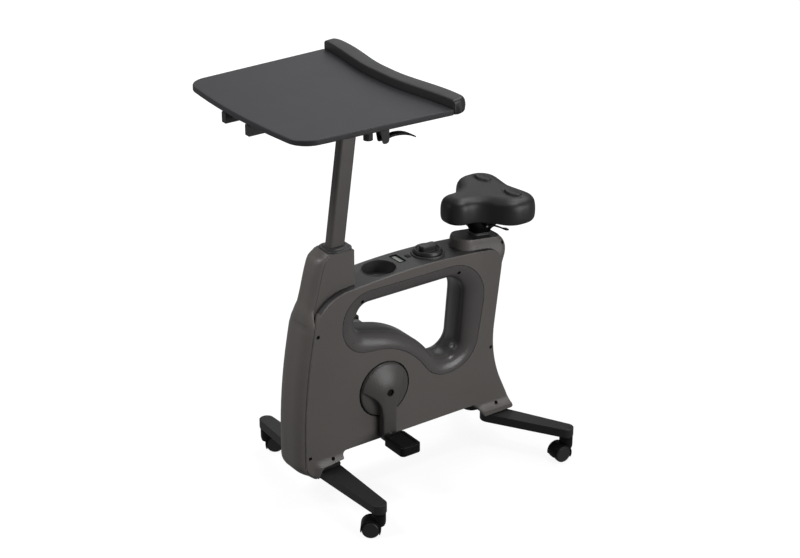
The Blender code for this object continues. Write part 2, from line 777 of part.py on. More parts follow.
def top_cover():
    """deck between the side panels, with the neck, cup, display, button and knob let in"""
    outline = housing_outline()
    path = stretch(outline, (HOUSING_REAR_TOP - 0.003, REAR_SEAM), (-0.276, REAR_SEAM - 0.010))
    rows = section_rows(path, lambda point: COVER_HALF, lambda point, normal: 0.0,
                        lambda point: 0.004, 1)
    deck = cover_sheet("top_cover", rows, CHARCOAL, (0.03, 0, 0.4), roughness=0.5)
    low = DECK_HEIGHT - 0.14
    high = DECK_HEIGHT + 0.06
    neck = block("slot", (-0.4, -NECK_HALF - GAP, low),
                 (NECK_REAR + GAP, NECK_HALF + GAP, high), BLACK)
    cut(deck, neck)
    cut(deck, prism("cup", circle(CUP_RADIUS + 0.002 + GAP, 20, (CUP_X, 0), True), low, high,
                    BLACK))
    (x0, y0), (x1, y1) = BUTTON_BOX
    middle = ((x0 + x1) / 2, (y0 + y1) / 2)
    outline = box_outline(x1 - x0 + 2 * GAP, y1 - y0 + 2 * GAP, 0.003, middle, 2)
    cut(deck, prism("button", outline, low, high, BLACK))
    (x0, y0), (x1, y1) = LENS_BOX
    middle = ((x0 + x1) / 2, (y0 + y1) / 2)
    outline = box_outline(x1 - x0 + 2 * GAP, y1 - y0 + 2 * GAP, 0.002, middle, 2)
    cut(deck, prism("lens", outline, DECK_HEIGHT - LENS_THICKNESS, high, BLACK))
    low = DECK_HEIGHT - 0.0025
    high = DECK_HEIGHT + KNOB_RING - 0.001
    profile = [(0.009, low), (KNOB_BASE, low), (KNOB_BASE, high - 0.002),
               (KNOB_BASE - 0.002, high), (KNOB_RADIUS + 0.0015, high),
               (KNOB_RADIUS + 0.0015, high - 0.002), (0.009, high - 0.002)]
    weld(deck, turned("ring", profile, CHARCOAL, 20, location=(KNOB_X, 0, 0)))
    cut(deck, rod("shaft_hole", KNOB_SHAFT + GAP, low - 0.01, high + 0.01, BLACK, outside=True,
                  location=(KNOB_X, 0, 0)))
    sleeve = sleeve_outline(POST_SIZE, SLEEVE_WALL + 2 * GAP)
    cut(deck, prism("sleeve_hole", sleeve, -0.12, 0.06, BLACK,
                    location=(SEAT_FOOT[0], 0, SEAT_FOOT[1]), turn=(0, SEAT_LEAN, 0)))
    return deck


def tower_loops(inset, drop, skip=1):
    """plan outlines of the seat tower, from its top down, square to the seat post"""
    levels = ((0.0, 0.046, 0.0370, 0.0370, 0.007), (-0.002, 0.051, 0.0405, 0.0405, 0.0028),
              (-0.006, 0.058, 0.0425, 0.0425, 0.0006), (-0.012, 0.065, 0.0430, 0.0440, 0.0),
              (-0.020, 0.0690, 0.0432, 0.0470, 0.0), (-0.030, 0.0712, 0.0434, 0.0520, 0.0),
              (-0.050, 0.0698, 0.0436, 0.0574, 0.0), (-0.076, 0.0650, 0.0436, 0.0574, 0.0),
              (-0.110, 0.0570, 0.0436, 0.0574, 0.0))
    nose = -0.092
    loops = []
    for height, rear, half_front, half_rear, top_round in levels[::skip]:
        radius = half_front - inset - 0.0004
        corner = min(0.024, half_rear - inset - 0.001)
        corners = [(nose + top_round + inset, -(half_front - inset), radius),
                   (rear - inset, -(half_rear - inset), corner),
                   (rear - inset, half_rear - inset, corner),
                   (nose + top_round + inset, half_front - inset, radius)]
        outline = rounded(corners, 4)
        loops.append([Vector((p.x, p.y, height - drop)) for p in outline])
    return loops


def tower_cover():
    """cap over the rear of the housing that carries the seat post's collar"""
    place = dict(location=(SEAT_FOOT[0], 0, SEAT_FOOT[1]), turn=(0, SEAT_LEAN, 0))
    cap = skin("tower_cover", tower_loops(0.0, 0.0), HOUSING_GREY, roughness=0.42, **place)
    cut(cap, skin("hollow", tower_loops(WALL, WALL, 2), BLACK, **place))
    body = shifted(housing_outline(), GAP)
    cut(cap, prism("body", body, -0.09, 0.09, BLACK, "XZ"))
    hole = box_outline(POST_SIZE[0] + 2 * BUSH_WALL + 4 * GAP,
                       POST_SIZE[1] + 2 * BUSH_WALL + 4 * GAP, POST_CORNER)
    cut(cap, prism("hole", hole, -0.02, 0.02, BLACK, **place))
    return cap


def rear_cover():
    outline = housing_outline()
    path = stretch(outline, (HOUSING_HEEL, SKIRT_HEIGHT + 0.004),
                   (HOUSING_REAR_TOP - 0.003, REAR_SEAM))
    path = denser(denser(path, 0.012, 0.150), 0.060, 1.0)
    path = with_heights(path, (REAR_CREASE - 0.007, REAR_CREASE))

    def bulge(point, normal):
        ends = (smooth_step(SKIRT_HEIGHT, 0.150, point[1])
                * smooth_step(REAR_CREASE, REAR_CREASE - 0.007, point[1]))
        return REAR_BULGE * ends

    rows = section_rows(path, cover_half, bulge, lambda point: 0.014, 2)
    return cover_sheet("rear_cover", rows, HOUSING_GREY, (0.1, 0, 0.35), roughness=0.45)


def bottom_cover():
    outline = housing_outline()
    path = stretch(outline, (FRONT_ANKLE_REAR, SKIRT_HEIGHT + 0.024),
                   (REAR_ANKLE_FRONT + 0.010, SKIRT_HEIGHT + 0.026))
    rows = section_rows(path, cover_half, lambda point, normal: 0.0, lambda point: 0.004, 1)
    return cover_sheet("bottom_cover", rows, BLACK, (0.03, 0, 0.4), 0.0025, roughness=0.6)


# Frame and drive

def post_outline(grow):
    """outline of a post, larger all round by a distance"""
    return box_outline(POST_SIZE[0] + 2 * grow, POST_SIZE[1] + 2 * grow, POST_CORNER + grow,
                       steps=CORNER_STEPS)


def sleeve_outline(size, grow):
    """outline of a post sleeve, larger than its bush by a distance"""
    reach = BUSH_WALL + 2 * GAP + grow
    return box_outline(size[0] + 2 * reach, size[1] + 2 * reach, POST_CORNER + reach,
                       steps=CORNER_STEPS)


def leaning(foot, lean):
    return dict(location=(foot[0], 0, foot[1]), turn=(0, lean, 0))


def main_frame():
    """welded steel frame: two post sleeves, a beam, a crank shell and the leg plates"""
    post = leaning(POST_FOOT, POST_LEAN)
    seat = leaning(SEAT_FOOT, SEAT_LEAN)
    post_bottom = (FOOT_PLATE_TOP - 0.0018 - POST_FOOT[1]) / cos(POST_LEAN)
    frame = prism("main_frame", sleeve_outline(POST_SIZE, SLEEVE_WALL), post_bottom,
                  NECK_SLEEVE_TOP, STEEL, roughness=0.5, metallic=0.6, **post)
    weld(frame, block("beam", (-0.262, BEAM_Y[0], BEAM_Z[0]), (0.325, BEAM_Y[1], BEAM_Z[1]),
                      STEEL))
    weld(frame, prism("seat", sleeve_outline(POST_SIZE, SLEEVE_WALL), SEAT_CROSSBAR - 0.003,
                      -WALL - 2 * GAP, STEEL, **seat))
    strut = [Vector(p) for p in ((0.262, SEAT_FOOT[1] - 0.302), (0.301, SEAT_FOOT[1] - 0.296),
                                 (0.353, SKIRT_HEIGHT), (0.312, SKIRT_HEIGHT))]
    weld(frame, prism("strut", strut, -0.019, 0.019, STEEL, "XZ"))
    for x0, x1 in ((HOUSING_FRONT + 0.027, FRONT_PIVOT_X + 0.032),
                   (REAR_PIVOT_X - 0.030, REAR_PIVOT_X + 0.046)):
        half = HOUSING_HALF - PLATE - 0.001
        weld(frame, block("plate", (x0, -half, LEG_TOP + GAP), (x1, half, FOOT_PLATE_TOP), STEEL))
    weld(frame, block("crank_strut", (CRANK_X - 0.017, BEAM_Y[0] + 0.001, BEAM_Z[1] - 0.005),
                      (CRANK_X + 0.017, BEAM_Y[1] - 0.001, CRANK_Z - 0.010), STEEL))
    weld(frame, rod("shell", SHELL_RADIUS, BEAM_Y[0] - 0.0005, 0.014, STEEL, "Y", 16,
                    location=(CRANK_X, 0, CRANK_Z)))
    bracket = rounded([(FLYWHEEL_X - 0.018, BEAM_Z[1] - 0.005, 0),
                       (FLYWHEEL_X + 0.018, BEAM_Z[1] - 0.005, 0),
                       (FLYWHEEL_X + 0.016, FLYWHEEL_Z + 0.016, 0.0155),
                       (FLYWHEEL_X - 0.016, FLYWHEEL_Z + 0.016, 0.0155)])
    weld(frame, prism("bracket", bracket, BEAM_Y[1] - 0.0045, BEAM_Y[1] - 0.0005, STEEL, "XZ"))
    pin = magnet_pivot()
    lug = rounded([(pin[0] - 0.009, BEAM_Z[1] - 0.005, 0), (pin[0] + 0.009, BEAM_Z[1] - 0.005, 0),
                   (pin[0] + 0.009, pin[1] + 0.009, 0.0088),
                   (pin[0] - 0.009, pin[1] + 0.009, 0.0088)])
    weld(frame, prism("lug", lug, BEAM_Y[1] - 0.0045, BEAM_Y[1] - 0.0005, STEEL, "XZ"))
    bore = sleeve_outline(POST_SIZE, 0.0)
    cut(frame, prism("post_bore", bore, POST_CROSSBAR, 0.02, BLACK, **post))
    cut(frame, prism("post_drain", bore, post_bottom - 0.03, POST_CROSSBAR - CROSSBAR, BLACK,
                     **post))
    cut(frame, prism("seat_bore", bore, SEAT_CROSSBAR + CROSSBAR, 0.02, BLACK, **seat))
    cut(frame, rod("crank_bore", BEARING_RADIUS + GAP, -0.05, 0.02, BLACK, "Y", 16, True,
                   location=(CRANK_X, 0, CRANK_Z)))
    cut(frame, rod("axle_bore", FLY_AXLE_RADIUS + GAP, -0.03, 0.0, BLACK, "Y", 16, True,
                   location=(FLYWHEEL_X, 0, FLYWHEEL_Z)))
    cut(frame, rod("pin_bore", MAGNET_PIN + GAP, -0.03, 0.0, BLACK, "Y", 10, True,
                   location=(pin[0], 0, pin[1])))
    for x in (FRONT_PIVOT_X, REAR_PIVOT_X):
        for side in (-1, 1):
            weld(frame, rod("stud", PIVOT_RADIUS, LEG_BOTTOM + 0.001, FOOT_PLATE_TOP - 0.001,
                            STEEL, "Z", 12, location=(x, side * LEG_PIVOT_Y, 0)))
    return frame


def magnet_pivot():
    reach = FLYWHEEL_RADIUS + MAGNET_GAP + MAGNET_DEPTH / 2
    angle = radians(195)
    return (FLYWHEEL_X + reach * cos(angle), FLYWHEEL_Z + reach * sin(angle))


def magnet_bracket():
    """arc of magnets beside the flywheel's rim, on a pin at its lower end"""
    inner = FLYWHEEL_RADIUS + MAGNET_GAP
    outer = inner + MAGNET_DEPTH
    angles = [radians(108 + 90 * k / 9) for k in range(10)]
    arc = [Vector((FLYWHEEL_X + outer * cos(a), FLYWHEEL_Z + outer * sin(a))) for a in angles]
    arc += [Vector((FLYWHEEL_X + inner * cos(a), FLYWHEEL_Z + inner * sin(a)))
            for a in reversed(angles)]
    bracket = prism("magnet_bracket", arc, -0.012, 0.012, STEEL, "XZ", roughness=0.5,
                    metallic=0.6)
    pin = magnet_pivot()
    weld(bracket, rod("pin", MAGNET_PIN, BEAM_Y[1] - 0.0055, -0.008, STEEL, "Y", 12,
                      location=(pin[0], 0, pin[1])))
    return bracket


def crank_axle():
    reach = RECESS_FLOOR - 0.0005
    return rod("crank_axle", AXLE_RADIUS, -reach, reach, STEEL, "Y", 16, roughness=0.3,
               metallic=0.9, location=(CRANK_X, 0, CRANK_Z))


def crank_bearing():
    """bearing cartridge in the frame's shell"""
    bore = (AXLE_RADIUS + GAP) / cos(pi / TURN_STEPS)
    profile = [(bore, -0.040), (BEARING_RADIUS, -0.040), (BEARING_RADIUS, 0.013), (bore, 0.013)]
    return turned("crank_bearing", profile, STEEL, TURN_STEPS, "Y", roughness=0.25, metallic=0.9,
                  location=(CRANK_X, 0, CRANK_Z))


def drive_pulley():
    """grooved pulley on the crank axle"""
    bore = (AXLE_RADIUS + GAP) / cos(pi / HIDDEN_STEPS)
    low, high = BELT_Y
    flange = 0.0012
    rim = PULLEY_RADIUS + 0.003
    profile = [(bore, low - flange), (rim, low - flange), (rim, low - 2 * GAP),
               (PULLEY_RADIUS, low - GAP), (PULLEY_RADIUS, high + GAP), (rim, high + 2 * GAP),
               (rim, high + flange), (0.060, high + flange), (0.060, low + 0.005),
               (0.020, low + 0.005), (0.020, 0.036), (bore, 0.036)]
    return turned("drive_pulley", profile, BLACK, HIDDEN_STEPS, "Y", roughness=0.5,
                  location=(CRANK_X, 0, CRANK_Z))


def flywheel():
    """heavy wheel with the belt's small pulley on its hub"""
    bore = (FLY_AXLE_RADIUS + GAP) / cos(pi / HIDDEN_STEPS)
    low, high = BELT_Y
    half = FLYWHEEL_HALF
    hub = 0.012
    profile = [(bore, BEAM_Y[1] + 0.0005), (hub, BEAM_Y[1] + 0.0005), (hub, -half),
               (FLYWHEEL_RADIUS, -half), (FLYWHEEL_RADIUS, half),
               (FLYWHEEL_RADIUS - 0.013, half), (FLYWHEEL_RADIUS - 0.014, 0.004), (hub, 0.004),
               (hub, low - 0.0015), (SMALL_PULLEY + 0.003, low - 0.0015),
               (SMALL_PULLEY + 0.003, low - 2 * GAP), (SMALL_PULLEY, low - GAP),
               (SMALL_PULLEY, high + GAP), (SMALL_PULLEY + 0.003, high + 2 * GAP),
               (SMALL_PULLEY + 0.003, high + 0.0015), (bore, high + 0.0015)]
    return turned("flywheel", profile, STEEL, HIDDEN_STEPS, "Y", roughness=0.35, metallic=0.9,
                  location=(FLYWHEEL_X, 0, FLYWHEEL_Z))


def flywheel_axle():
    """fixed axle through the frame's bracket, with a head at each end"""
    head = FLY_AXLE_RADIUS + 0.004
    low = BEAM_Y[1] - 0.0045 - GAP
    high = BELT_Y[1] + 0.0015 + GAP
    profile = [(0, low - 0.004), (head, low - 0.004), (head, low), (FLY_AXLE_RADIUS, low),
               (FLY_AXLE_RADIUS, high), (head, high), (head, high + 0.004), (0, high + 0.004)]
    return turned("flywheel_axle", profile, STEEL, 16, "Y", roughness=0.3, metallic=0.9,
                  location=(FLYWHEEL_X, 0, FLYWHEEL_Z))


def drive_belt():
    """flat belt round the two pulleys"""
    length = hypot(FLYWHEEL_X - CRANK_X, FLYWHEEL_Z - CRANK_Z)
    lean = atan2(FLYWHEEL_Z - CRANK_Z, FLYWHEEL_X - CRANK_X)
    steps = 8
    ease = 1 / cos(pi / (2 * steps))
    rings = []
    for extra in (GAP, GAP + BELT_WALL):
        points = hull_of_circles((PULLEY_RADIUS + extra) * ease, (SMALL_PULLEY + extra) * ease,
                                 length, steps)
        rings.append([Vector((CRANK_X + p.x * cos(lean) - p.y * sin(lean),
                              CRANK_Z + p.x * sin(lean) + p.y * cos(lean))) for p in points])
    inner, outer = rings
    low, high = BELT_Y
    loops = [lift(inner, low, "XZ"), lift(inner, high, "XZ"),
             lift(outer, high, "XZ"), lift(outer, low, "XZ")]
    return skin("drive_belt", loops, BLACK, ring=True, roughness=0.8)


def crank(side):
    """disc that fills the well in the housing, with the arm growing out of it"""
    name = ("left" if side < 0 else "right") + "_crank"
    down = -1 if side < 0 else 1
    disc_face = CRANK_INNER - 0.001
    profile = [(0, 0.057), (CRANK_DISC, 0.057), (CRANK_DISC, disc_face - 0.003),
               (CRANK_DISC - 0.003, disc_face - 0.0005),
               (0.066, disc_face + 0.003), (0.045, 0.076), (0.026, 0.084), (0, 0.087)]
    made = turned(name, profile, CHARCOAL, LARGE_STEPS, "Y", roughness=0.45)
    tip = CRANK_LENGTH
    arm = rounded([(-0.024, -tip - 0.019, 0.016), (0.024, -tip - 0.019, 0.016),
                   (0.027, -0.060, 0.200), (0.048, 0.032, 0.036), (-0.048, 0.032, 0.036),
                   (-0.032, -0.060, 0.200)])
    low = prism("arm", arm, CRANK_INNER, CRANK_FACE, CHARCOAL, "XZ")
    soften(low, 0.003, 1)
    weld(made, low)
    neck = SPINDLE_RADIUS + 0.003
    inside = CRANK_FACE - 0.010
    spindle = [(0, inside), (neck, inside), (neck, PEDAL_INNER - GAP),
               (SPINDLE_RADIUS, PEDAL_INNER - GAP), (SPINDLE_RADIUS, PEDAL_INNER + 0.080),
               (0, PEDAL_INNER + 0.080)]
    weld(made, turned("spindle", spindle, STEEL, 12, "Y", location=(0, 0, -tip)))
    cut(made, rod("bore", AXLE_RADIUS + GAP, 0.05, RECESS_FLOOR + 0.001, BLACK, "Y", 16, True))
    cut(made, rod("recess", BOLT_RECESS, RECESS_FLOOR, CRANK_FACE + 0.01, BLACK, "Y", 16))
    if side < 0:
        mirror_y(made)
    made.location = (CRANK_X, 0, CRANK_Z)
    made.rotation_euler = (0, 0 if down < 0 else pi, 0)
    return made


def crank_bolt(side):
    """hexagon bolt that holds a crank on the axle"""
    name = ("left" if side < 0 else "right") + "_crank_bolt"
    start = RECESS_FLOOR + GAP
    return prism(name, circle(0.009, 6), side * start, side * (start + 0.006), STEEL, "XZ",
                 roughness=0.3, metallic=0.9, location=(CRANK_X, 0, CRANK_Z))


def pedal(side):
    """block pedal with a sunk tread on both faces, turning on the crank's spindle"""
    name = ("left" if side < 0 else "right") + "_pedal"
    width, length, height = PEDAL_SIZE
    middle = (0, PEDAL_INNER + length / 2)
    outline = box_outline(width, length, PEDAL_CORNER, middle, 3)
    body = prism(name, outline, -height / 2, height / 2, BLACK, roughness=0.6)
    bm = bmesh.new()
    bm.from_mesh(body.data)
    for sign in (-1, 1):
        tread = [f for f in bm.faces if f.normal.z * sign > 0.9]
        bmesh.ops.inset_region(bm, faces=tread, thickness=0.002, depth=0.0015)
        tread = [f for f in bm.faces if f.normal.z * sign > 0.99]
        bmesh.ops.inset_region(bm, faces=tread, thickness=0.007, depth=0.0)
        tread = [f for f in bm.faces if f.normal.z * sign > 0.99
                 and len(f.verts) > 4]
        bmesh.ops.inset_region(bm, faces=tread, thickness=0.001, depth=-0.002)
    bm.to_mesh(body.data)
    bm.free()
    cut(body, rod("bore", SPINDLE_RADIUS + GAP, PEDAL_INNER - 0.02, PEDAL_INNER + 0.081, BLACK,
                  "Y", 12, True))
    if side < 0:
        mirror_y(body)
    lift_z = -CRANK_LENGTH if side < 0 else CRANK_LENGTH
    body.location = (CRANK_X, 0, CRANK_Z + lift_z)
    return body


# Posts, collars and gas springs

def post_tube(name, foot, lean, bottom, top, plug, color):
    """rounded rectangular tube with a plug inside that the gas spring's rod pushes"""
    outer = box_outline(*POST_SIZE, POST_CORNER, steps=CORNER_STEPS)
    inner = box_outline(POST_SIZE[0] - 2 * POST_WALL, POST_SIZE[1] - 2 * POST_WALL,
                        POST_CORNER - POST_WALL, steps=CORNER_STEPS)
    place = leaning(foot, lean)
    tube = prism(name, outer, bottom, top, color, roughness=0.35, metallic=0.4, **place)
    cut(tube, prism("lower", inner, bottom - 0.01, plug, BLACK, **place))
    cut(tube, prism("upper", inner, plug + 0.012, top + 0.01, BLACK, **place))
    return tube


def collar(name, foot, lean, color):
    """lipped bush between the sleeve and the post"""
    inner = post_outline(GAP)
    reach = BUSH_WALL + GAP
    skirt = box_outline(POST_SIZE[0] + 2 * reach, POST_SIZE[1] + 2 * reach,
                        POST_CORNER + reach, steps=CORNER_STEPS)
    lip = box_outline(POST_SIZE[0] + 2 * COLLAR_LIP, POST_SIZE[1] + 2 * COLLAR_LIP,
                      POST_CORNER + COLLAR_LIP, steps=CORNER_STEPS)
    crown = box_outline(POST_SIZE[0] + 2 * COLLAR_LIP - 0.004,
                        POST_SIZE[1] + 2 * COLLAR_LIP - 0.004, POST_CORNER + COLLAR_LIP - 0.002,
                        steps=CORNER_STEPS)
    loops = [lift(skirt, -BUSH_DEPTH), lift(skirt, GAP), lift(lip, GAP),
             lift(lip, COLLAR_HEIGHT - 0.002), lift(crown, COLLAR_HEIGHT),
             lift(inner, COLLAR_HEIGHT), lift(inner, -BUSH_DEPTH)]
    return skin(name, loops, color, ring=True, roughness=0.5, **leaning(foot, lean))


def post_collar():
    """two-step cap on the neck with a bush that guides the desk post in its sleeve"""
    low = NECK_TOP + GAP
    middle = ((CAP_X[0] + CAP_X[1]) / 2, 0)
    length = CAP_X[1] - CAP_X[0]
    width = 2 * NECK_HALF
    steps = ((0.0, 0.0), (0.0025, 0.0), (0.0045, 0.003), (0.0048, 0.008),
             (CAP_HEIGHT - 0.0015, 0.009), (CAP_HEIGHT, 0.011))
    loops = [lift(box_outline(length - 2 * inset, width - 2 * inset, 0.024 - inset, middle, 4),
                  low + rise) for rise, inset in steps]
    cap = skin("post_collar", loops, HOUSING_GREY, roughness=0.5)
    place = leaning(POST_FOOT, POST_LEAN)
    reach = BUSH_WALL + GAP
    bush = box_outline(POST_SIZE[0] + 2 * reach, POST_SIZE[1] + 2 * reach,
                       POST_CORNER + reach, steps=CORNER_STEPS)
    weld(cap, prism("bush", bush, NECK_SLEEVE_TOP - BUSH_DEPTH, -0.001, BLACK, **place))
    bore = post_outline(GAP)
    cut(cap, prism("bore", bore, NECK_SLEEVE_TOP - BUSH_DEPTH - 0.01, 0.02, BLACK, **place))
    return cap


def spring_cylinder(name, foot, lean, bottom, top, bore_bottom):
    """gas spring cylinder standing on the frame's crossbar"""
    bore = (SPRING_ROD + GAP) / cos(pi / 16)
    profile = [(0, bottom), (SPRING_RADIUS, bottom), (SPRING_RADIUS, top), (bore, top),
               (bore, bore_bottom), (0, bore_bottom)]
    return turned(name, profile, BLACK, 16, roughness=0.4, metallic=0.5, **leaning(foot, lean))


def spring_rod(name, foot, lean, bottom, top):
    return rod(name, SPRING_ROD, bottom, top, STEEL, steps=12, roughness=0.15, metallic=1.0,
               **leaning(foot, lean))


# Console

def cup_holder():
    """turned cup with a thin lip on the deck"""
    lip = DECK_HEIGHT + 0.0006
    wall = 0.002
    outer = CUP_RADIUS + wall
    low = DECK_HEIGHT - CUP_DEPTH
    profile = [(0, low - wall), (outer - 0.008, low - wall), (outer, low + 0.006),
               (outer, lip), (outer + 0.003, lip), (outer + 0.003, lip + 0.0012),
               (CUP_RADIUS, lip + 0.0012), (CUP_RADIUS, low + 0.006), (CUP_RADIUS - 0.006, low),
               (0, low)]
    return turned("cup_holder", profile, CHARCOAL, 20, roughness=0.5, location=(CUP_X, 0, 0))


def display_lens():
    (x0, y0), (x1, y1) = LENS_BOX
    middle = ((x0 + x1) / 2, (y0 + y1) / 2)
    outline = box_outline(x1 - x0, y1 - y0, 0.0018, middle, 2)
    return prism("display_lens", outline, DECK_HEIGHT - LENS_THICKNESS + GAP, DECK_HEIGHT + GAP,
                 (0.25, 0.27, 0.27), roughness=0.12)


def console_button():
    (x0, y0), (x1, y1) = BUTTON_BOX
    outline = box_outline(x1 - x0, y1 - y0, 0.0028, steps=2)
    low = DECK_HEIGHT + 0.0012 - BUTTON_HEIGHT
    return prism("console_button", outline, 0, BUTTON_HEIGHT, (0.05, 0.05, 0.052), roughness=0.5,
                 location=((x0 + x1) / 2, (y0 + y1) / 2, low))


def resistance_knob():
    """dished dial with a grip bar across it and a shaft through the deck"""
    base = DECK_HEIGHT + KNOB_RING - 0.003 + GAP
    top = base + KNOB_HEIGHT
    r = KNOB_RADIUS
    profile = [(0, base - 0.016), (KNOB_SHAFT, base - 0.016), (KNOB_SHAFT, base), (r, base),
               (r, base + 0.003), (r - 0.003, top - 0.001), (r - 0.006, top),
               (r - 0.010, top - 0.003), (r - 0.018, top - 0.0055), (0, top - 0.0055)]
    knob = turned("resistance_knob", profile, CHARCOAL, 20, roughness=0.4)
    grip = rounded([(-r + 0.008, -0.008, 0.0075), (r - 0.008, -0.008, 0.0075),
                    (r - 0.008, 0.008, 0.0075), (-r + 0.008, 0.008, 0.0075)], 3)
    bar = prism("grip", grip, top - 0.007, top + KNOB_GRIP - 0.003, CHARCOAL)
    soften(bar, 0.002, 1)
    weld(knob, bar)
    knob.location = (KNOB_X, 0, 0)
    return knob


# Desk

def pad_line(middle, ends, y):
    """x of the pad's front or rear edge, which curves from the middle to the ends"""
    share = min(1.0, abs(y) / BOARD_HALF_REAR)
    return middle + (ends - middle) * share ** 1.6


def desk_board():
    """tapered board with a bowed front, ending at the pad's curved front face"""
    front_y = BOARD_HALF_REAR + BOARD_TAPER * (BOARD_FRONT + 0.020)
    rim = rounded([(PAD_ENDS, -BOARD_HALF_REAR, 0), (PAD_ENDS, BOARD_HALF_REAR, 0),
                   (BOARD_FRONT + 0.019, front_y, BOARD_CORNER),
                   (BOARD_FRONT - 0.009, 0, 1.9),
                   (BOARD_FRONT + 0.019, -front_y, BOARD_CORNER)])[2:]
    count = 16
    rear = []
    for k in range(count + 1):
        y = -BOARD_HALF_REAR + 2 * BOARD_HALF_REAR * k / count
        rear.append(Vector((pad_line(PAD_MIDDLE, PAD_ENDS, y) - GAP, y)))
    low = BOARD_TOP - BOARD_THICKNESS
    board = prism("desk_board", rear + rim, low, BOARD_TOP, CHARCOAL, roughness=0.55)
    return soften(board, BOARD_EDGE, 1)


def wrist_pad():
    """soft rest along the board's rear edge, crowned and drawn in at its ends"""
    low = BOARD_TOP - BOARD_THICKNESS + 0.0005
    stations = 20
    loops = []
    for k in range(stations + 1):
        y = -cos(pi * k / stations) * BOARD_HALF_REAR
        ends = smooth_step(BOARD_HALF_REAR, BOARD_HALF_REAR - 0.022, abs(y))
        front = pad_line(PAD_MIDDLE, PAD_ENDS, y)
        rear = pad_line(PAD_REAR_MIDDLE, PAD_REAR_ENDS, y) - 0.020 * (1 - ends)
        top = PAD_TOP - 0.010 * (1 - ends)
        bottom = low + 0.003 * (1 - ends)
        width = rear - front
        section = [(0.0, 0.04), (0.0, 0.35), (0.0, 0.80), (0.04, 0.94), (0.12, 0.985),
                   (0.30, 1.0), (0.55, 0.995), (0.78, 0.95), (0.93, 0.84), (1.0, 0.66),
                   (1.0, 0.34), (0.95, 0.10), (0.85, 0.0), (0.04, 0.0)]
        loops.append([Vector((front + width * a, y, bottom + (top - bottom) * b))
                      for a, b in section])
    return skin("wrist_pad", loops, BLACK, roughness=0.6)


def rail(side):
    name = ("left" if side < 0 else "right") + "_rail"
    width, height = RAIL_SIZE
    top = BOARD_TOP - BOARD_THICKNESS - GAP
    bar = prism(name, box_outline(width, height, 0.0012, (side * RAIL_Y, top - height / 2), 1),
                BOARD_FRONT + 0.001, RAIL_REAR, BLACK, roughness=0.4, metallic=0.5)
    bm = bmesh.new()
    bm.from_mesh(bar.data)
    for vert in bm.verts:
        vert.co = Vector((vert.co.z, vert.co.x, vert.co.y))
    bm.to_mesh(bar.data)
    bm.free()
    wall = 0.002
    y = side * RAIL_Y
    cut(bar, block("bore", (BOARD_FRONT + 0.006, y - width / 2 + wall, top - height + wall),
                   (RAIL_REAR + 0.01, y + width / 2 - wall, top - wall), BLACK))
    return bar


def rail_carriage():
    """slide under the board: a plate with guides for both rails and a socket on the post"""
    x0, x1 = CARRIAGE_X
    rail_top = BOARD_TOP - BOARD_THICKNESS - GAP
    rail_low = rail_top - RAIL_SIZE[1]
    plate_top = rail_low - GAP
    plate_low = plate_top - CARRIAGE_PLATE
    outer = RAIL_Y + RAIL_SIZE[0] / 2 + GAP
    inner = RAIL_Y - RAIL_SIZE[0] / 2 - GAP
    lip = 0.0035
    section = [(-outer - lip, plate_low), (outer + lip, plate_low), (outer + lip, rail_low + 0.014),
               (outer, rail_low + 0.014), (outer, plate_top), (inner, plate_top),
               (inner, rail_top - 0.004), (-inner, rail_top - 0.004), (-inner, plate_top),
               (-outer, plate_top), (-outer, rail_low + 0.014), (-outer - lip, rail_low + 0.014)]
    bm = bmesh.new()
    face = bm.faces.new([bm.verts.new((x0, y, z)) for y, z in section])
    top = bmesh.ops.extrude_face_region(bm, geom=[face])["geom"]
    bmesh.ops.translate(bm, verts=[v for v in top if isinstance(v, bmesh.types.BMVert)],
                        vec=(x1 - x0, 0, 0))
    carriage = finish("rail_carriage", bm, BLACK, roughness=0.4, metallic=0.5)
    place = leaning(POST_FOOT, POST_LEAN)
    socket = post_outline(0.004)
    reach = (plate_low + 0.002 - POST_FOOT[1]) / cos(POST_LEAN)
    weld(carriage, prism("socket", socket, reach - 0.042, reach, BLACK, **place))
    bore = box_outline(POST_SIZE[0] + 2 * GAP, POST_SIZE[1] + 2 * GAP, POST_CORNER,
                       steps=CORNER_STEPS)
    cut(carriage, prism("bore", bore, reach - 0.06, POST_SHOWN + GAP, BLACK, **place))
    return carriage


def desk_lever_bracket():
    """bracket under the board with the lever's pivot pin between two ears"""
    px, pz = LEVER_PIVOT
    low = BOARD_TOP - BOARD_THICKNESS - GAP
    half = 0.013
    base = block("desk_lever_bracket", (px - 0.060, LEVER_Y - half, low - 0.004),
                 (px + 0.018, LEVER_Y + half, low), BLACK, roughness=0.4, metallic=0.4)
    weld(base, rod("boss", 0.0125, low - 0.030, low - 0.002, BLACK, "Z", 16,
                   location=(px - 0.047, LEVER_Y, 0)))
    ear = rounded([(px - 0.018, low - 0.002, 0), (px - 0.010, pz - 0.009, 0.006),
                   (px + 0.009, pz - 0.009, 0.0085), (px + 0.009, low - 0.002, 0)])
    for side in (-1, 1):
        y = LEVER_Y + side * (half - 0.0015)
        weld(base, prism("ear", ear, y - 0.0015, y + 0.0015, BLACK, "XZ"))
    weld(base, rod("pin", LEVER_PIN, LEVER_Y - half + 0.001, LEVER_Y + half - 0.001, BLACK, "Y",
                   14, location=(px, 0, pz)))
    return base


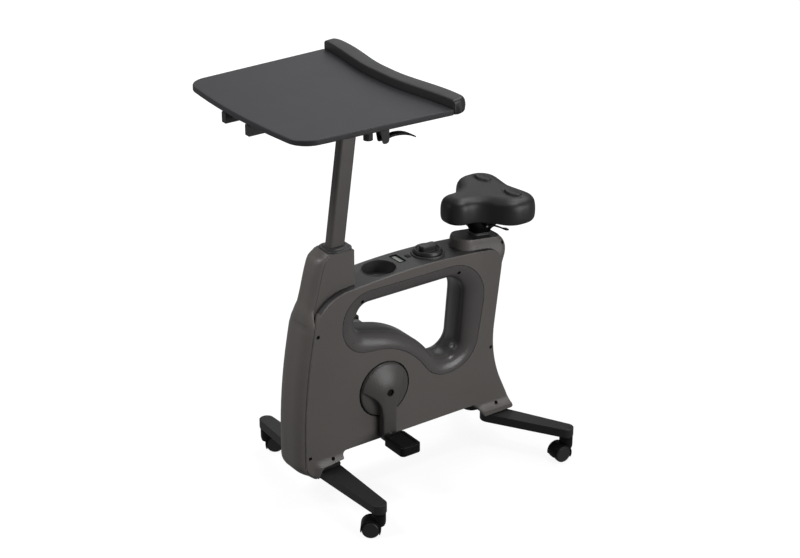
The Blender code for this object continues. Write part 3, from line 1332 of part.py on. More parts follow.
def desk_lever():
    """squeeze lever: a tube on the pin and a paddle that curves down to its tip"""
    px, pz = LEVER_PIVOT
    half = 0.0095
    hub = rod("desk_lever", LEVER_TUBE, -half, half, BLACK, "Y", 16, roughness=0.4)
    centre = [(0.0, 0.000), (0.020, 0.006), (0.045, 0.006), (0.070, 0.000), (0.094, -0.012)]
    halves = [0.0085, 0.0095, 0.0118, 0.0122, 0.0100]
    thick = [0.0045, 0.0042, 0.0034, 0.0028, 0.0020]
    loops = []
    for (x, z), wide, deep in zip(centre, halves, thick):
        loops.append([Vector((x, a * wide, z + b * deep)) for a, b in
                      ((-1, -0.3), (-0.8, -1), (0.8, -1), (1, -0.3), (1, 0.4), (0.7, 1),
                       (-0.7, 1), (-1, 0.4))])
    weld(hub, skin("paddle", loops, BLACK))
    cut(hub, rod("bore", LEVER_PIN + GAP, -0.02, 0.02, BLACK, "Y", 14, True))
    hub.location = (px, LEVER_Y, pz)
    return hub


# Saddle

def saddle_outline(inset):
    """plan of the saddle: a round nose, a waist and two lobes with a notch between them"""
    nose = 0.0485
    half = SADDLE_HALF + 0.001
    waist = SADDLE_NOSE + 0.084
    shoulder = SADDLE_REAR - 0.118
    notch = SADDLE_REAR - 0.024
    near = [(SADDLE_NOSE, -nose, 0.044), (waist, -nose - 0.002, 0.060), (shoulder, -half, 0.062),
            (SADDLE_REAR, -half, 0.058)]
    corners = near + [(notch, 0.0, 0.070)] + [(x, -y, r) for x, y, r in reversed(near)]
    outline = rounded(corners, 4)
    return shifted(outline, -inset) if inset else outline


def saddle_cushion():
    """wide padded saddle: crowned top, drawn-in sides and two raised oval pads"""
    levels = ((0.0, 0.012), (0.0035, 0.004), (0.014, 0.0005), (0.032, 0.0), (0.048, 0.003),
              (0.060, 0.010), (0.067, 0.018), (0.0705, 0.028))
    height = SADDLE_TOP - SADDLE_BOTTOM
    loops = [lift(saddle_outline(inset), SADDLE_BOTTOM + level / 0.0705 * height)
             for level, inset in levels]
    cushion = skin("saddle_cushion", loops, BLACK, roughness=0.55)
    for side in (-1, 1):
        bm = bmesh.new()
        bmesh.ops.create_uvsphere(bm, u_segments=16, v_segments=8, radius=1.0)
        bmesh.ops.scale(bm, verts=bm.verts, vec=(0.038, 0.026, 0.012))
        bmesh.ops.rotate(bm, verts=bm.verts, matrix=Matrix.Rotation(side * radians(-12), 3, "Z"))
        bmesh.ops.translate(bm, verts=bm.verts, vec=(SADDLE_REAR - 0.072, side * 0.068,
                                                     SADDLE_TOP - 0.004))
        weld(cushion, finish("pad", bm, BLACK))
    return cushion


def saddle_base():
    """pan under the cushion"""
    top = SADDLE_BOTTOM - 0.0004
    loops = [lift(saddle_outline(0.028), top - SADDLE_PAN),
             lift(saddle_outline(0.020), top - SADDLE_PAN + 0.002),
             lift(saddle_outline(0.017), top)]
    return skin("saddle_base", loops, BLACK, roughness=0.5)


def seat_boot():
    """tapered boot between the pan and the seat post"""
    place = leaning(SEAT_FOOT, SEAT_LEAN)
    low = COLLAR_HEIGHT + 0.0008
    pan_low = SADDLE_BOTTOM - 0.0004 - SADDLE_PAN
    high = (pan_low + 0.010 - SEAT_FOOT[1]) / cos(SEAT_LEAN)
    sizes = ((low, 0.062, 0.042, 0.015), (low + 0.008, 0.064, 0.044, 0.016),
             (low + 0.018, 0.084, 0.056, 0.020), (high - 0.008, 0.118, 0.072, 0.028),
             (high, 0.126, 0.076, 0.030))
    loops = [lift(box_outline(a, b, r, steps=CORNER_STEPS), h) for h, a, b, r in sizes]
    boot = skin("seat_boot", loops, BLACK, roughness=0.55, **place)
    cut(boot, block("level", (0.1, -0.1, pan_low - GAP), (0.5, 0.1, pan_low + 0.05), BLACK))
    bore = post_outline(GAP)
    cut(boot, prism("bore", bore, low - 0.01, SEAT_SHOWN - 0.010, BLACK, **place))
    px, pz = SEAT_LEVER_PIVOT
    weld(boot, rod("pin", SEAT_LEVER_PIN, SEAT_LEVER_Y - 0.007, SEAT_LEVER_Y + 0.018, BLACK, "Y",
                   14, location=(px, 0, pz)))
    return boot


def seat_lever():
    """flat lever beside the boot that frees the seat's gas spring"""
    px, pz = SEAT_LEVER_PIVOT
    hub = rod("seat_lever", 0.006, -0.006, 0.006, BLACK, "Y", 16, roughness=0.45)
    centre = [(0.0, 0.0), (0.022, -0.004), (0.045, -0.014), (0.066, -0.026), (0.078, -0.029)]
    loops = []
    for (x, z), wide in zip(centre, (0.0050, 0.0060, 0.0080, 0.0095, 0.0075)):
        loops.append([Vector((x, a * wide, z + b * 0.0022)) for a, b in
                      ((-1, -0.4), (-0.7, -1), (0.7, -1), (1, -0.4), (1, 0.4), (0.7, 1),
                       (-0.7, 1), (-1, 0.4))])
    weld(hub, skin("blade", loops, BLACK))
    cut(hub, rod("bore", SEAT_LEVER_PIN + GAP, -0.02, 0.02, BLACK, "Y", 14, True))
    hub.location = (px, SEAT_LEVER_Y, pz)
    return hub


# Legs and casters

def leg(name, pivot_x, stem, radii, side):
    """tapered leg that folds about its pivot bolt and holds a caster's stem"""
    dx = stem[0] - pivot_x
    dy = side * (stem[1] - LEG_PIVOT_Y)
    length = hypot(dx, dy)
    outline = hull_of_circles(radii[0], radii[1], length, 5)
    made = prism(name, outline, LEG_BOTTOM, LEG_TOP, BLACK, roughness=0.45, metallic=0.3)
    soften(made, 0.0015, 1)
    cut(made, rod("pivot_bore", PIVOT_RADIUS + GAP, 0, 0.2, BLACK, "Z", 12, True))
    cut(made, rod("stem_bore", STEM_RADIUS + GAP, 0, LEG_TOP - 0.004, BLACK, "Z", 10, True,
                  location=(length, 0, 0)))
    made.location = (pivot_x, side * LEG_PIVOT_Y, 0)
    made.rotation_euler = (0, 0, atan2(dy, dx))
    return made


def caster_fork(name):
    """hooded body of a twin-wheel caster; the stem's axis is at the origin, the trail runs to -X"""
    axle = -CASTER_TRAIL
    hood = WHEEL_RADIUS + HOOD_GAP + HOOD_WALL
    half = CASTER_HALF_WIDTH - 0.0004
    arc = [Vector((axle + hood * cos(a), WHEEL_RADIUS + hood * sin(a)))
           for a in (radians(-28 + 220 * k / 10) for k in range(11))]
    body = prism(name, arc, -half, half, BLACK, "XZ", roughness=0.5)
    neck = turned("neck", [(0, 0.030), (CASTER_NECK_RADIUS - 0.002, 0.034),
                           (CASTER_NECK_RADIUS, 0.044), (CASTER_NECK_RADIUS, CASTER_HEIGHT),
                           (STEM_RADIUS, CASTER_HEIGHT), (STEM_RADIUS, LEG_TOP - 0.005),
                           (0, LEG_TOP - 0.005)], BLACK, 12)
    weld(body, neck)
    clear = WHEEL_RADIUS + HOOD_GAP
    for side in (-1, 1):
        low, high = sorted((side * CASTER_WEB, side * (half + 0.02)))
        pocket = circle(clear, TURN_STEPS, (axle, WHEEL_RADIUS), True)
        cut(body, prism("pocket", pocket, low, high, BLACK, "XZ"))
    cut(body, rod("bore", 0.003 + GAP, -0.02, 0.02, BLACK, "Y", 10, True,
                  location=(axle, 0, WHEEL_RADIUS)))
    return body


def caster_wheels(name):
    """twin wheels on their axle, about the axle at the origin"""
    half = CASTER_HALF_WIDTH
    inner = CASTER_WEB + 0.0008
    r = WHEEL_RADIUS
    side = [(0, half - 0.0018), (r - 0.009, half - 0.0018), (r - 0.008, half), (r - 0.002, half),
            (r, half - 0.003), (r, inner), (0.003, inner)]
    profile = side + [(a, -b) for a, b in reversed(side)]
    return turned(name, profile, BLACK, TURN_STEPS, "Y", roughness=0.5)


def copy_of(piece, name):
    """another object with the same mesh"""
    made = piece.copy()
    made.name = name
    bpy.context.scene.collection.objects.link(made)
    return made


def legs_and_casters():
    corners = (
        ("front_left", FRONT_PIVOT_X, FRONT_STEM, FRONT_LEG_RADII, -1, NEAR_FRONT_CASTER),
        ("front_right", FRONT_PIVOT_X, FRONT_STEM, FRONT_LEG_RADII, 1, FAR_FRONT_CASTER),
        ("rear_left", REAR_PIVOT_X, REAR_STEM, REAR_LEG_RADII, -1, NEAR_REAR_CASTER),
        ("rear_right", REAR_PIVOT_X, REAR_STEM, REAR_LEG_RADII, 1, FAR_REAR_CASTER),
    )
    first_fork = None
    first_wheels = None
    for corner, pivot_x, stem, radii, side, heading in corners:
        made = leg(corner + "_leg", pivot_x, stem, radii, side)
        swivel = empty(corner + "_swivel", (stem[0], side * stem[1], 0), (0, 0, heading))
        if first_fork is None:
            first_fork = fork = caster_fork(corner + "_caster_hood")
            first_wheels = wheels = caster_wheels(corner + "_caster_wheels")
        else:
            fork = copy_of(first_fork, corner + "_caster_hood")
            wheels = copy_of(first_wheels, corner + "_caster_wheels")
        fork.parent = swivel
        wheels.parent = swivel
        wheels.location = (-CASTER_TRAIL, 0, WHEEL_RADIUS)
        holder = empty(corner + "_fold", made.location)
        parent([made, swivel], holder)


def build():
    clear_scene()
    main_frame()
    for side in (-1, 1):
        side_panel(side)
        handle_trim(side)
    handle_band()
    front_cover()
    neck_cover()
    top_cover()
    tower_cover()
    rear_cover()
    bottom_cover()

    crank_body = empty("crank_turn", (CRANK_X, 0, CRANK_Z))
    cranks = [crank_axle(), drive_pulley(), crank(-1), crank(1), crank_bolt(-1), crank_bolt(1)]
    parent(cranks + [pedal(-1), pedal(1)], crank_body)
    crank_bearing()
    drive_belt()
    flywheel()
    flywheel_axle()
    magnet_bracket()

    desk_slide = empty("desk_lift", (POST_FOOT[0], 0, POST_FOOT[1]), (0, POST_LEAN, 0))
    post = post_tube("desk_post", POST_FOOT, POST_LEAN, -POST_INSERTED, POST_SHOWN, 0.115,
                     HOUSING_GREY)
    post_rod = spring_rod("desk_spring_rod", POST_FOOT, POST_LEAN, -0.135, 0.115 - GAP)
    desk = [post, post_rod, rail_carriage(), rail(-1), rail(1), desk_board(), wrist_pad(),
            desk_lever_bracket(), desk_lever()]
    parent(desk, desk_slide)
    post_collar()
    spring_cylinder("desk_spring_cylinder", POST_FOOT, POST_LEAN, POST_CROSSBAR + GAP, -0.065,
                    -0.315)

    seat_slide = empty("seat_lift", (SEAT_FOOT[0], 0, SEAT_FOOT[1]), (0, SEAT_LEAN, 0))
    seat_post = post_tube("seat_post", SEAT_FOOT, SEAT_LEAN, -SEAT_INSERTED, SEAT_SHOWN - 0.011,
                          0.010, HOUSING_GREY)
    seat_rod = spring_rod("seat_spring_rod", SEAT_FOOT, SEAT_LEAN, -0.262, 0.010 - GAP)
    seat = [seat_post, seat_rod, saddle_base(), seat_boot(), saddle_cushion(), seat_lever()]
    parent(seat, seat_slide)
    collar("seat_collar", SEAT_FOOT, SEAT_LEAN, CHARCOAL)
    spring_cylinder("seat_spring_cylinder", SEAT_FOOT, SEAT_LEAN, SEAT_CROSSBAR + CROSSBAR + GAP,
                    -0.070, -0.270)

    cup_holder()
    display_lens()
    console_button()
    resistance_knob()
    legs_and_casters()


build()
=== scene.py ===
import json
from math import acos, atan2, ceil, cos, hypot, pi, radians, sin, sqrt, tan

import bmesh
import bpy
from mathutils import Matrix, Vector


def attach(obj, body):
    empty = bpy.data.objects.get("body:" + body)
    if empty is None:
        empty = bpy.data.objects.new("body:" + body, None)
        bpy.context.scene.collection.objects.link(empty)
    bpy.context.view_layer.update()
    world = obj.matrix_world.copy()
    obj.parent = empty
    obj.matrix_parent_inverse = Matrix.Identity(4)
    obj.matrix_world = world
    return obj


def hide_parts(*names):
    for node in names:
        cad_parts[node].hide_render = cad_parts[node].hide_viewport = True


# Desk exercise bike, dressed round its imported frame. Metres; +X to the saddle end, +Z up.
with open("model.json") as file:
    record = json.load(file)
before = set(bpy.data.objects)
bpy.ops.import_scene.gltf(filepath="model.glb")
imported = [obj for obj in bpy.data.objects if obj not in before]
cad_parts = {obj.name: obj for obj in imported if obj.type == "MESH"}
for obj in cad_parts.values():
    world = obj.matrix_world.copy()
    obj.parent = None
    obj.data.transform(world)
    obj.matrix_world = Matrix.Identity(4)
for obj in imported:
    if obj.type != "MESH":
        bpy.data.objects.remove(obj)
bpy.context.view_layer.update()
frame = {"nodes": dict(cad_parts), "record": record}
nodes = frame["nodes"]
print("frame loaded:", len(nodes), "nodes")


# outlines

chordError = 0.00012


def arcSteps(radius, sweep):
    step = 2 * acos(max(0.0, 1 - chordError / max(radius, 0.0004)))
    return max(2, ceil(abs(sweep) / step))


# closed path through (a, b, radius) corners
def roundedPath(corners, steps=None):
    points = []
    for index, (a, b, radius) in enumerate(corners):
        here = Vector((a, b))
        if radius <= 0:
            points.append(here)
            continue
        back = (Vector(corners[index - 1][:2]) - here).normalized()
        ahead = (Vector(corners[(index + 1) % len(corners)][:2]) - here).normalized()
        half = back.angle(ahead) / 2
        centre = here + (back + ahead).normalized() * radius / sin(half)
        reach = radius / tan(half)
        first = here + back * reach - centre
        last = here + ahead * reach - centre
        start = atan2(first.y, first.x)
        sweep = (atan2(last.y, last.x) - start + pi) % (2 * pi) - pi
        number = steps or arcSteps(radius, sweep)
        for step in range(number + 1):
            angle = start + sweep * step / number
            points.append(centre + Vector((cos(angle), sin(angle))) * radius)
    return points


def boxPath(width, depth, radius=0.0, middle=(0, 0), steps=None):
    signs = ((-1, -1), (1, -1), (1, 1), (-1, 1))
    return roundedPath([(middle[0] + s * width / 2, middle[1] + t * depth / 2, radius)
                        for s, t in signs], steps)


def circlePath(radius, steps=64, middle=(0, 0)):
    turns = [2 * pi * k / steps for k in range(steps)]
    return [Vector((middle[0] + radius * cos(t), middle[1] + radius * sin(t))) for t in turns]


# a flat path as a loop at one height, or at one depth from the middle plane
def atHeight(path, height):
    return [Vector((p.x, p.y, height)) for p in path]


def atDepth(path, depth):
    return [Vector((p.x, depth, p.y)) for p in path]


# the path that lies between two of equal count
def between(first, second, share):
    return [a.lerp(b, share) for a, b in zip(first, second)]


# a closed path moved outwards, square to itself
def grown(points, distance):
    area = sum(p.x * q.y - q.x * p.y for p, q in zip(points, points[1:] + points[:1]))
    side = 1 if area > 0 else -1
    moved = []
    for before, here, after in zip(points[-1:] + points[:-1], points, points[1:] + points[:1]):
        first = (here - before).normalized()
        second = (after - here).normalized()
        normal = Vector((first.y + second.y, -first.x - second.x)).normalized() * side
        spread = max(0.5, sqrt(max(0.0, (1 + first.dot(second)) / 2)))
        moved.append(here + normal * distance / spread)
    return moved


def smoothStep(start, end, value):
    share = min(1.0, max(0.0, (value - start) / (end - start)))
    return share * share * (3 - 2 * share)


# mesh tools

# the frame of a leaning post
def placed(foot, lean):
    return Matrix.Translation((foot[0], 0, foot[1])) @ Matrix.Rotation(lean, 4, "Y")


# a path pulled out to a solid: XY upwards, or XZ along Y
def extruded(points, low, high, plane="XY"):
    bm = bmesh.new()
    if plane == "XY":
        verts = [bm.verts.new((p[0], p[1], low)) for p in points]
        rise = Vector((0, 0, high - low))
    else:
        verts = [bm.verts.new((p[0], low, p[1])) for p in points]
        rise = Vector((0, high - low, 0))
    face = bm.faces.new(verts)
    top = bmesh.ops.extrude_face_region(bm, geom=[face])["geom"]
    bmesh.ops.translate(bm, verts=[v for v in top if isinstance(v, bmesh.types.BMVert)], vec=rise)
    bmesh.ops.recalc_face_normals(bm, faces=bm.faces)
    return bm


# (radius, height) points turned round an axis
def spun(profile, steps=64, axis="Z"):
    bm = bmesh.new()
    verts = [bm.verts.new((radius, 0, height)) for radius, height in profile]
    edges = [bm.edges.new(pair) for pair in zip(verts, verts[1:])]
    if min(profile[0][0], profile[-1][0]) > 0:
        edges.append(bm.edges.new((verts[-1], verts[0])))
    bmesh.ops.spin(bm, geom=verts + edges, cent=(0, 0, 0), axis=(0, 0, 1), angle=2 * pi,
                   steps=steps, use_merge=True, use_normal_flip=False, use_duplicate=False)
    bmesh.ops.remove_doubles(bm, verts=bm.verts, dist=0.000005)
    if axis == "Y":
        bmesh.ops.rotate(bm, verts=bm.verts, matrix=Matrix.Rotation(-pi / 2, 3, "X"))
    bmesh.ops.recalc_face_normals(bm, faces=bm.faces)
    return bm


def rod(radius, low, high, steps, axis="Y"):
    return spun([(0, low), (radius, low), (radius, high), (0, high)], steps, axis)


# a grid laid over rows of points, joined into a tube with wrap
def gridOver(bm, rows, wrap=False):
    deep = len(rows)
    wide = len(rows[0]) + (1 if wrap else 0)
    laid = bmesh.ops.create_grid(bm, x_segments=wide - 1, y_segments=deep - 1, size=1)["verts"]
    for index, vert in enumerate(laid):
        row = rows[index // wide]
        vert.co = row[(index % wide) % len(row)]


# a body through closed loops of equal count, capped, or joined in a ring
def lofted(loops, ring=False):
    bm = bmesh.new()
    gridOver(bm, loops + ([loops[0]] if ring else []), wrap=True)
    bmesh.ops.remove_doubles(bm, verts=bm.verts, dist=0.000002)
    if not ring:
        bmesh.ops.holes_fill(bm, edges=[e for e in bm.edges if len(e.link_faces) == 1], sides=0)
    bmesh.ops.recalc_face_normals(bm, faces=bm.faces)
    return bm


# an open sheet over rows, given its wall on the inner side
def shell(rows, inside, wall):
    bm = bmesh.new()
    gridOver(bm, rows)
    bmesh.ops.recalc_face_normals(bm, faces=bm.faces)
    facing = sum(face.normal.dot(face.calc_center_median() - Vector(inside)) * face.calc_area()
                 for face in bm.faces)
    if facing < 0:
        bmesh.ops.reverse_faces(bm, faces=bm.faces)
    bmesh.ops.solidify(bm, geom=list(bm.faces), thickness=wall)
    bmesh.ops.recalc_face_normals(bm, faces=bm.faces)
    return bm


def thingFrom(bm, name="work"):
    mesh = bpy.data.meshes.new(name)
    bm.to_mesh(mesh)
    bm.free()
    thing = bpy.data.objects.new(name, mesh)
    bpy.context.scene.collection.objects.link(thing)
    return thing


# the mesh after its modifiers, as a bmesh; the object goes
def evaluated(thing):
    graph = bpy.context.evaluated_depsgraph_get()
    made = bpy.data.meshes.new_from_object(thing.evaluated_get(graph))
    bm = bmesh.new()
    bm.from_mesh(made)
    bpy.data.objects.remove(thing, do_unlink=True)
    bpy.data.meshes.remove(made)
    return bm


# one bmesh cut from another, or joined to it
def combined(base, tool, operation="DIFFERENCE"):
    first, second = thingFrom(base), thingFrom(tool)
    change = first.modifiers.new("change", "BOOLEAN")
    change.operation = operation
    change.solver = "EXACT"
    change.object = second
    result = evaluated(first)
    bpy.data.objects.remove(second, do_unlink=True)
    return result


# several bodies in one mesh, each left whole
def joined(base, *others):
    for other in others:
        mesh = bpy.data.meshes.new("part")
        other.to_mesh(mesh)
        other.free()
        base.from_mesh(mesh)
        bpy.data.meshes.remove(mesh)
    return base


# round the edges that turn more than the angle, and that keep() takes
def edgesRounded(bm, width, segments=3, sharper=40, keep=None):
    edges = [e for e in bm.edges if len(e.link_faces) == 2
             and e.calc_face_angle(0) > radians(sharper) and (keep is None or keep(e))]
    bmesh.ops.bevel(bm, geom=edges, offset=width, offset_type="OFFSET", segments=segments,
                    profile=0.5, material=-1, affect="EDGES", clamp_overlap=True)
    return bm


# a joined form whose inner corners flow into fillets
def melted(bm, voxel, passes):
    thing = thingFrom(bm)
    grain = thing.modifiers.new("grain", "REMESH")
    grain.mode = "VOXEL"
    grain.voxel_size = voxel
    ease = thing.modifiers.new("ease", "SMOOTH")
    ease.factor = 0.5
    ease.iterations = passes
    return evaluated(thing)


def moved(bm, matrix):
    bm.transform(matrix)
    return bm


# the same shape for the other side
def mirrored(bm):
    bmesh.ops.scale(bm, verts=bm.verts, vec=(1, -1, 1))
    bmesh.ops.reverse_faces(bm, faces=bm.faces)
    return bm


# a finished piece at the origin that rides on its body, in its slot's finish unless told
def piece(name, bm, body, slot, replaced=(), sharp=34, even=False, finish=None):
    thing = thingFrom(bm, name)
    thing.data.materials.append(looks[finish or slotLooks[slot]])
    thing.data.shade_smooth()
    thing.data.set_sharp_from_angle(angle=radians(sharp))
    if even:
        flat = thing.modifiers.new("even", "WEIGHTED_NORMAL")
        flat.keep_sharp = True
        flat.weight = 100
    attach(thing, body)
    if replaced:
        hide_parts(*replaced)
    return thing


# finishes

# a node with its settings made, and each input set to a value or linked to an output
def addNode(tree, kind, inputs, **settings):
    made = tree.nodes.new("ShaderNode" + kind)
    for name, value in settings.items():
        setattr(made, name, value)
    for name, value in inputs.items():
        if isinstance(value, bpy.types.NodeSocket):
            tree.links.new(value, made.inputs[name])
        else:
            made.inputs[name].default_value = value
    return made


# a material whose colour, roughness and fine relief come from noise in metres
def finishNodes(name, color, roughness, metallic=0.0, grain=0.0007, depth=0.00004, mottle=0.05,
                rougher=0.06, specular=0.5, stretch=(1, 1, 1), cells=False):
    made = bpy.data.materials.new(name)
    made.use_nodes = True
    tree = made.node_tree
    shader = tree.nodes["Principled BSDF"]
    shader.inputs["Metallic"].default_value = metallic
    shader.inputs["Specular IOR Level"].default_value = specular
    place = addNode(tree, "TexCoord", {}).outputs["Object"]
    spot = addNode(tree, "Mapping", {"Vector": place, "Scale": stretch}).outputs["Vector"]
    broad = addNode(tree, "TexNoise", {"Vector": spot, "Scale": 14, "Detail": 4}).outputs["Fac"]
    tint = addNode(tree, "Mix", {"Factor": broad,
                                 "A": (*[c * (1 - mottle) for c in color], 1),
                                 "B": (*[min(1, c * (1 + mottle)) for c in color], 1)},
                   data_type="RGBA")
    dull = addNode(tree, "MapRange", {"Value": broad, "To Min": roughness - rougher,
                                      "To Max": roughness + rougher})
    if cells:
        fine = addNode(tree, "TexVoronoi", {"Vector": spot, "Scale": 1 / grain},
                       feature="SMOOTH_F1").outputs["Distance"]
    else:
        fine = addNode(tree, "TexNoise", {"Vector": spot, "Scale": 1 / grain,
                                          "Detail": 3}).outputs["Fac"]
    relief = addNode(tree, "Bump", {"Height": fine, "Strength": 0.6, "Distance": depth})
    tree.links.new(tint.outputs["Result"], shader.inputs["Base Color"])
    tree.links.new(dull.outputs["Result"], shader.inputs["Roughness"])
    tree.links.new(relief.outputs["Normal"], shader.inputs["Normal"])
    return made


finishes = {
    "housing": dict(color=(0.116, 0.106, 0.099), roughness=0.46, mottle=0.03),
    # handle trim and band: a darker copy of the housing finish, painted shade for the inside of
    # the handle opening
    "trim": dict(color=(0.084, 0.079, 0.077), roughness=0.29, mottle=0.03),
    "deck": dict(color=(0.042, 0.041, 0.042), roughness=0.48),
    "board": dict(color=(0.026, 0.026, 0.029), roughness=0.50, grain=0.0011, mottle=0.03,
                  rougher=0.02, specular=0.35),
    "pad": dict(color=(0.014, 0.014, 0.014), roughness=0.48, grain=0.0016, depth=0.00006,
                cells=True),
    "saddle": dict(color=(0.012, 0.0118, 0.012), roughness=0.47, grain=0.0019, depth=0.00008,
                   cells=True),
    "leg": dict(color=(0.021, 0.021, 0.021), roughness=0.40, specular=0.25, grain=0.0005),
    "post": dict(color=(0.108, 0.099, 0.095), roughness=0.40, metallic=0.25, grain=0.0004),
    "rail": dict(color=(0.018, 0.018, 0.019), roughness=0.42, metallic=0.2, grain=0.0005),
    "blackPlastic": dict(color=(0.004, 0.004, 0.004), roughness=0.42, specular=0.15),
    "crankPlastic": dict(color=(0.070, 0.066, 0.063), roughness=0.42),
    "knob": dict(color=(0.020, 0.020, 0.020), roughness=0.42),
    "tyre": dict(color=(0.009, 0.009, 0.009), roughness=0.60, grain=0.0009),
    "hub": dict(color=(0.012, 0.012, 0.012), roughness=0.40),
    "screw": dict(color=(0.0025, 0.0025, 0.0025), roughness=0.6, grain=0.0003, specular=0.2),
    "steel": dict(color=(0.42, 0.42, 0.43), roughness=0.30, metallic=0.95, grain=0.0003,
                  stretch=(1, 1, 9)),
    "cast": dict(color=(0.20, 0.20, 0.21), roughness=0.45, metallic=0.85, grain=0.0012,
                 depth=0.00012),
    "chrome": dict(color=(0.62, 0.62, 0.64), roughness=0.12, metallic=1.0, rougher=0.03,
                   mottle=0.02),
    "belt": dict(color=(0.009, 0.009, 0.009), roughness=0.75, grain=0.0012, depth=0.00015),
    "lens": dict(color=(0.27, 0.29, 0.27), roughness=0.35, rougher=0.03, mottle=0.03,
                 depth=0.000004),
}
looks = {name: finishNodes(name, **values) for name, values in finishes.items()}
slotLooks = {
    "housing": "housing", "deck": "deck", "board": "board", "pad": "pad", "rail": "rail",
    "post": "post", "frame": "leg", "bright_steel": "steel", "cast": "cast", "chrome": "chrome",
    "black_plastic": "blackPlastic", "lens": "lens", "belt": "belt", "saddle": "saddle",
    "leg": "leg", "tread": "tyre",
}
for part in frame["record"]["subparts"]:
    shown = nodes[part["node"]]
    shown.data.materials.clear()
    # the crank bolts take the near-black screw finish: painted shade for the dark holes they sit
    # in
    dark = part["node"].endswith("crank_bolt")      # the bolts show as dark dots in the arms
    shown.data.materials.append(looks["screw" if dark else slotLooks[part["material_slot"]]])
print("finishes made:", len(looks))


# housing

housing = {
    "half": 0.062, "front": -0.319, "rearTop": 0.356, "waist": 0.3135, "heel": 0.3955,
    "deck": 0.640, "toe": 0.084, "skirt": 0.104, "belly": 0.144, "skirtTop": 0.143,
    "frontAnkle": -0.198, "rearAnkle": 0.262, "frontPivot": -0.236,
    "frontFlare": 0.0095, "rearFlare": 0.0125, "lip": 0.119, "plate": 0.004, "wall": 0.003,
    "gap": 0.0003, "edge": 0.0025, "seam": 0.0010, "bandHalf": 0.030,
}
sides = ((-1, "left"), (1, "right"))
trimCorners = ((-0.188, 0.611, 0.092), (-0.199, 0.432, 0.090), (0.013, 0.419, 0.217),
               (0.115, 0.281, 0.087), (0.251, 0.280, 0.097), (0.308, 0.609, 0.115))
gripCorners = ((-0.119, 0.566, 0.039), (-0.164, 0.494, 0.035), (0.046, 0.438, 0.276),
               (0.142, 0.316, 0.060), (0.216, 0.324, 0.048), (0.235, 0.568, 0.066))
crankSpot = (-0.058, 0.297)
wellRadius = 0.084


def housingPath():
    h = housing
    arch = h["skirt"] + 0.012
    return roundedPath([
        (h["front"], h["toe"] + 0.028, 0.045), (h["frontPivot"] - 0.046, h["toe"] - 0.001, 0.003),
        (h["frontPivot"] - 0.035, arch, 0.020), (h["frontAnkle"], arch + 0.006, 0.003),
        (h["frontAnkle"], h["belly"] - 0.0005, 0.012), (h["rearAnkle"], h["belly"] + 0.001, 0.012),
        (h["rearAnkle"] + 0.028, h["skirt"] - 0.001, 0.008), (h["heel"], h["skirt"], 0.006),
        (h["waist"], 0.290, 0.370), (h["rearTop"], h["deck"] - 0.018, 0.052),
        (0.081, h["deck"] + 0.006, 2.0), (h["front"] + 0.053, h["deck"] - 0.020, 0.122),
        (h["front"], 0.332, 1.65),
    ])


# how far the skirts over the legs stand out from the flat side
def flareAt(x, z):
    h = housing
    down = min(1.0, max(0.0, (h["skirtTop"] - z) / (h["skirtTop"] - h["lip"]))) ** 1.8
    if x < 0:
        return h["frontFlare"] * down * smoothStep(-0.298, -0.272, x)
    return h["rearFlare"] * down * smoothStep(0.266, 0.292, x)


# a closed ring of edges in the plane y = depth
def ringAt(bm, points, depth):
    verts = [bm.verts.new((p[0], depth, p[1])) for p in points]
    return [bm.edges.new(pair) for pair in zip(verts, verts[1:] + verts[:1])]


# a plate between two depths whose rim and holes have rounded front edges
def plateWithHoles(outer, holes, back, front, edge, holeEdge):
    bm = bmesh.new()
    backEdges, frontEdges = [], []
    for path, side, rounding in [(outer, -1, edge)] + [(hole, 1, holeEdge) for hole in holes]:
        rings = [ringAt(bm, path, back)]
        for step in range(5):
            angle = pi / 2 * step / 4
            rings.append(ringAt(bm, grown(path, side * rounding * (1 - cos(angle))),
                                front - rounding + rounding * sin(angle)))
        for lower, upper in zip(rings, rings[1:]):
            bmesh.ops.bridge_loops(bm, edges=lower + upper)
        backEdges += rings[0]
        frontEdges += rings[-1]
    for edges in (backEdges, frontEdges):
        bmesh.ops.triangle_fill(bm, use_beauty=True, use_dissolve=False, edges=edges)
    bmesh.ops.recalc_face_normals(bm, faces=bm.faces)
    return bm


# extra rows of vertices across the low part of a plate
def slicedBelow(bm, height, levels, normal):
    for level in levels:
        faces = [f for f in bm.faces if min(v.co.z for v in f.verts) < height]
        geom = faces + list({e for f in faces for e in f.edges}) + list(
            {v for f in faces for v in f.verts})
        spot = (level, 0, 0) if normal[0] else (0, 0, level)
        bmesh.ops.bisect_plane(bm, geom=geom, plane_co=spot, plane_no=normal)


sideScrews = ((-0.273, 0.517), (-0.306, 0.154), (-0.233, 0.132), (0.336, 0.132), (0.315, 0.318))
trimScrews = ((-0.126, 0.581), (0.200, 0.582))
towerScrew = (0.362, 0.630)
screw = {"hole": 0.0055, "head": 0.0066, "sunk": 0.0044, "socket": 0.0018, "thick": 0.003,
         "trimDepth": 0.0490, "towerDepth": 0.0446, "towerHead": 0.0046}


# dark pan-head screw with a six-sided socket, sunk in its hole and facing outwards
def screwHead(x, y, z, side, head=screw["head"]):
    bm = spun([(0, -screw["thick"]), (head, -screw["thick"]), (head, -0.0006),
               (head - 0.0007, 0), (0, 0)], 24, "Y")
    bm = combined(bm, extruded(circlePath(screw["socket"], 6), -0.0012, 0.002, "XZ"))
    if side < 0:
        mirrored(bm)
    return moved(bm, Matrix.Translation((x, y - side * screw["sunk"], z)))


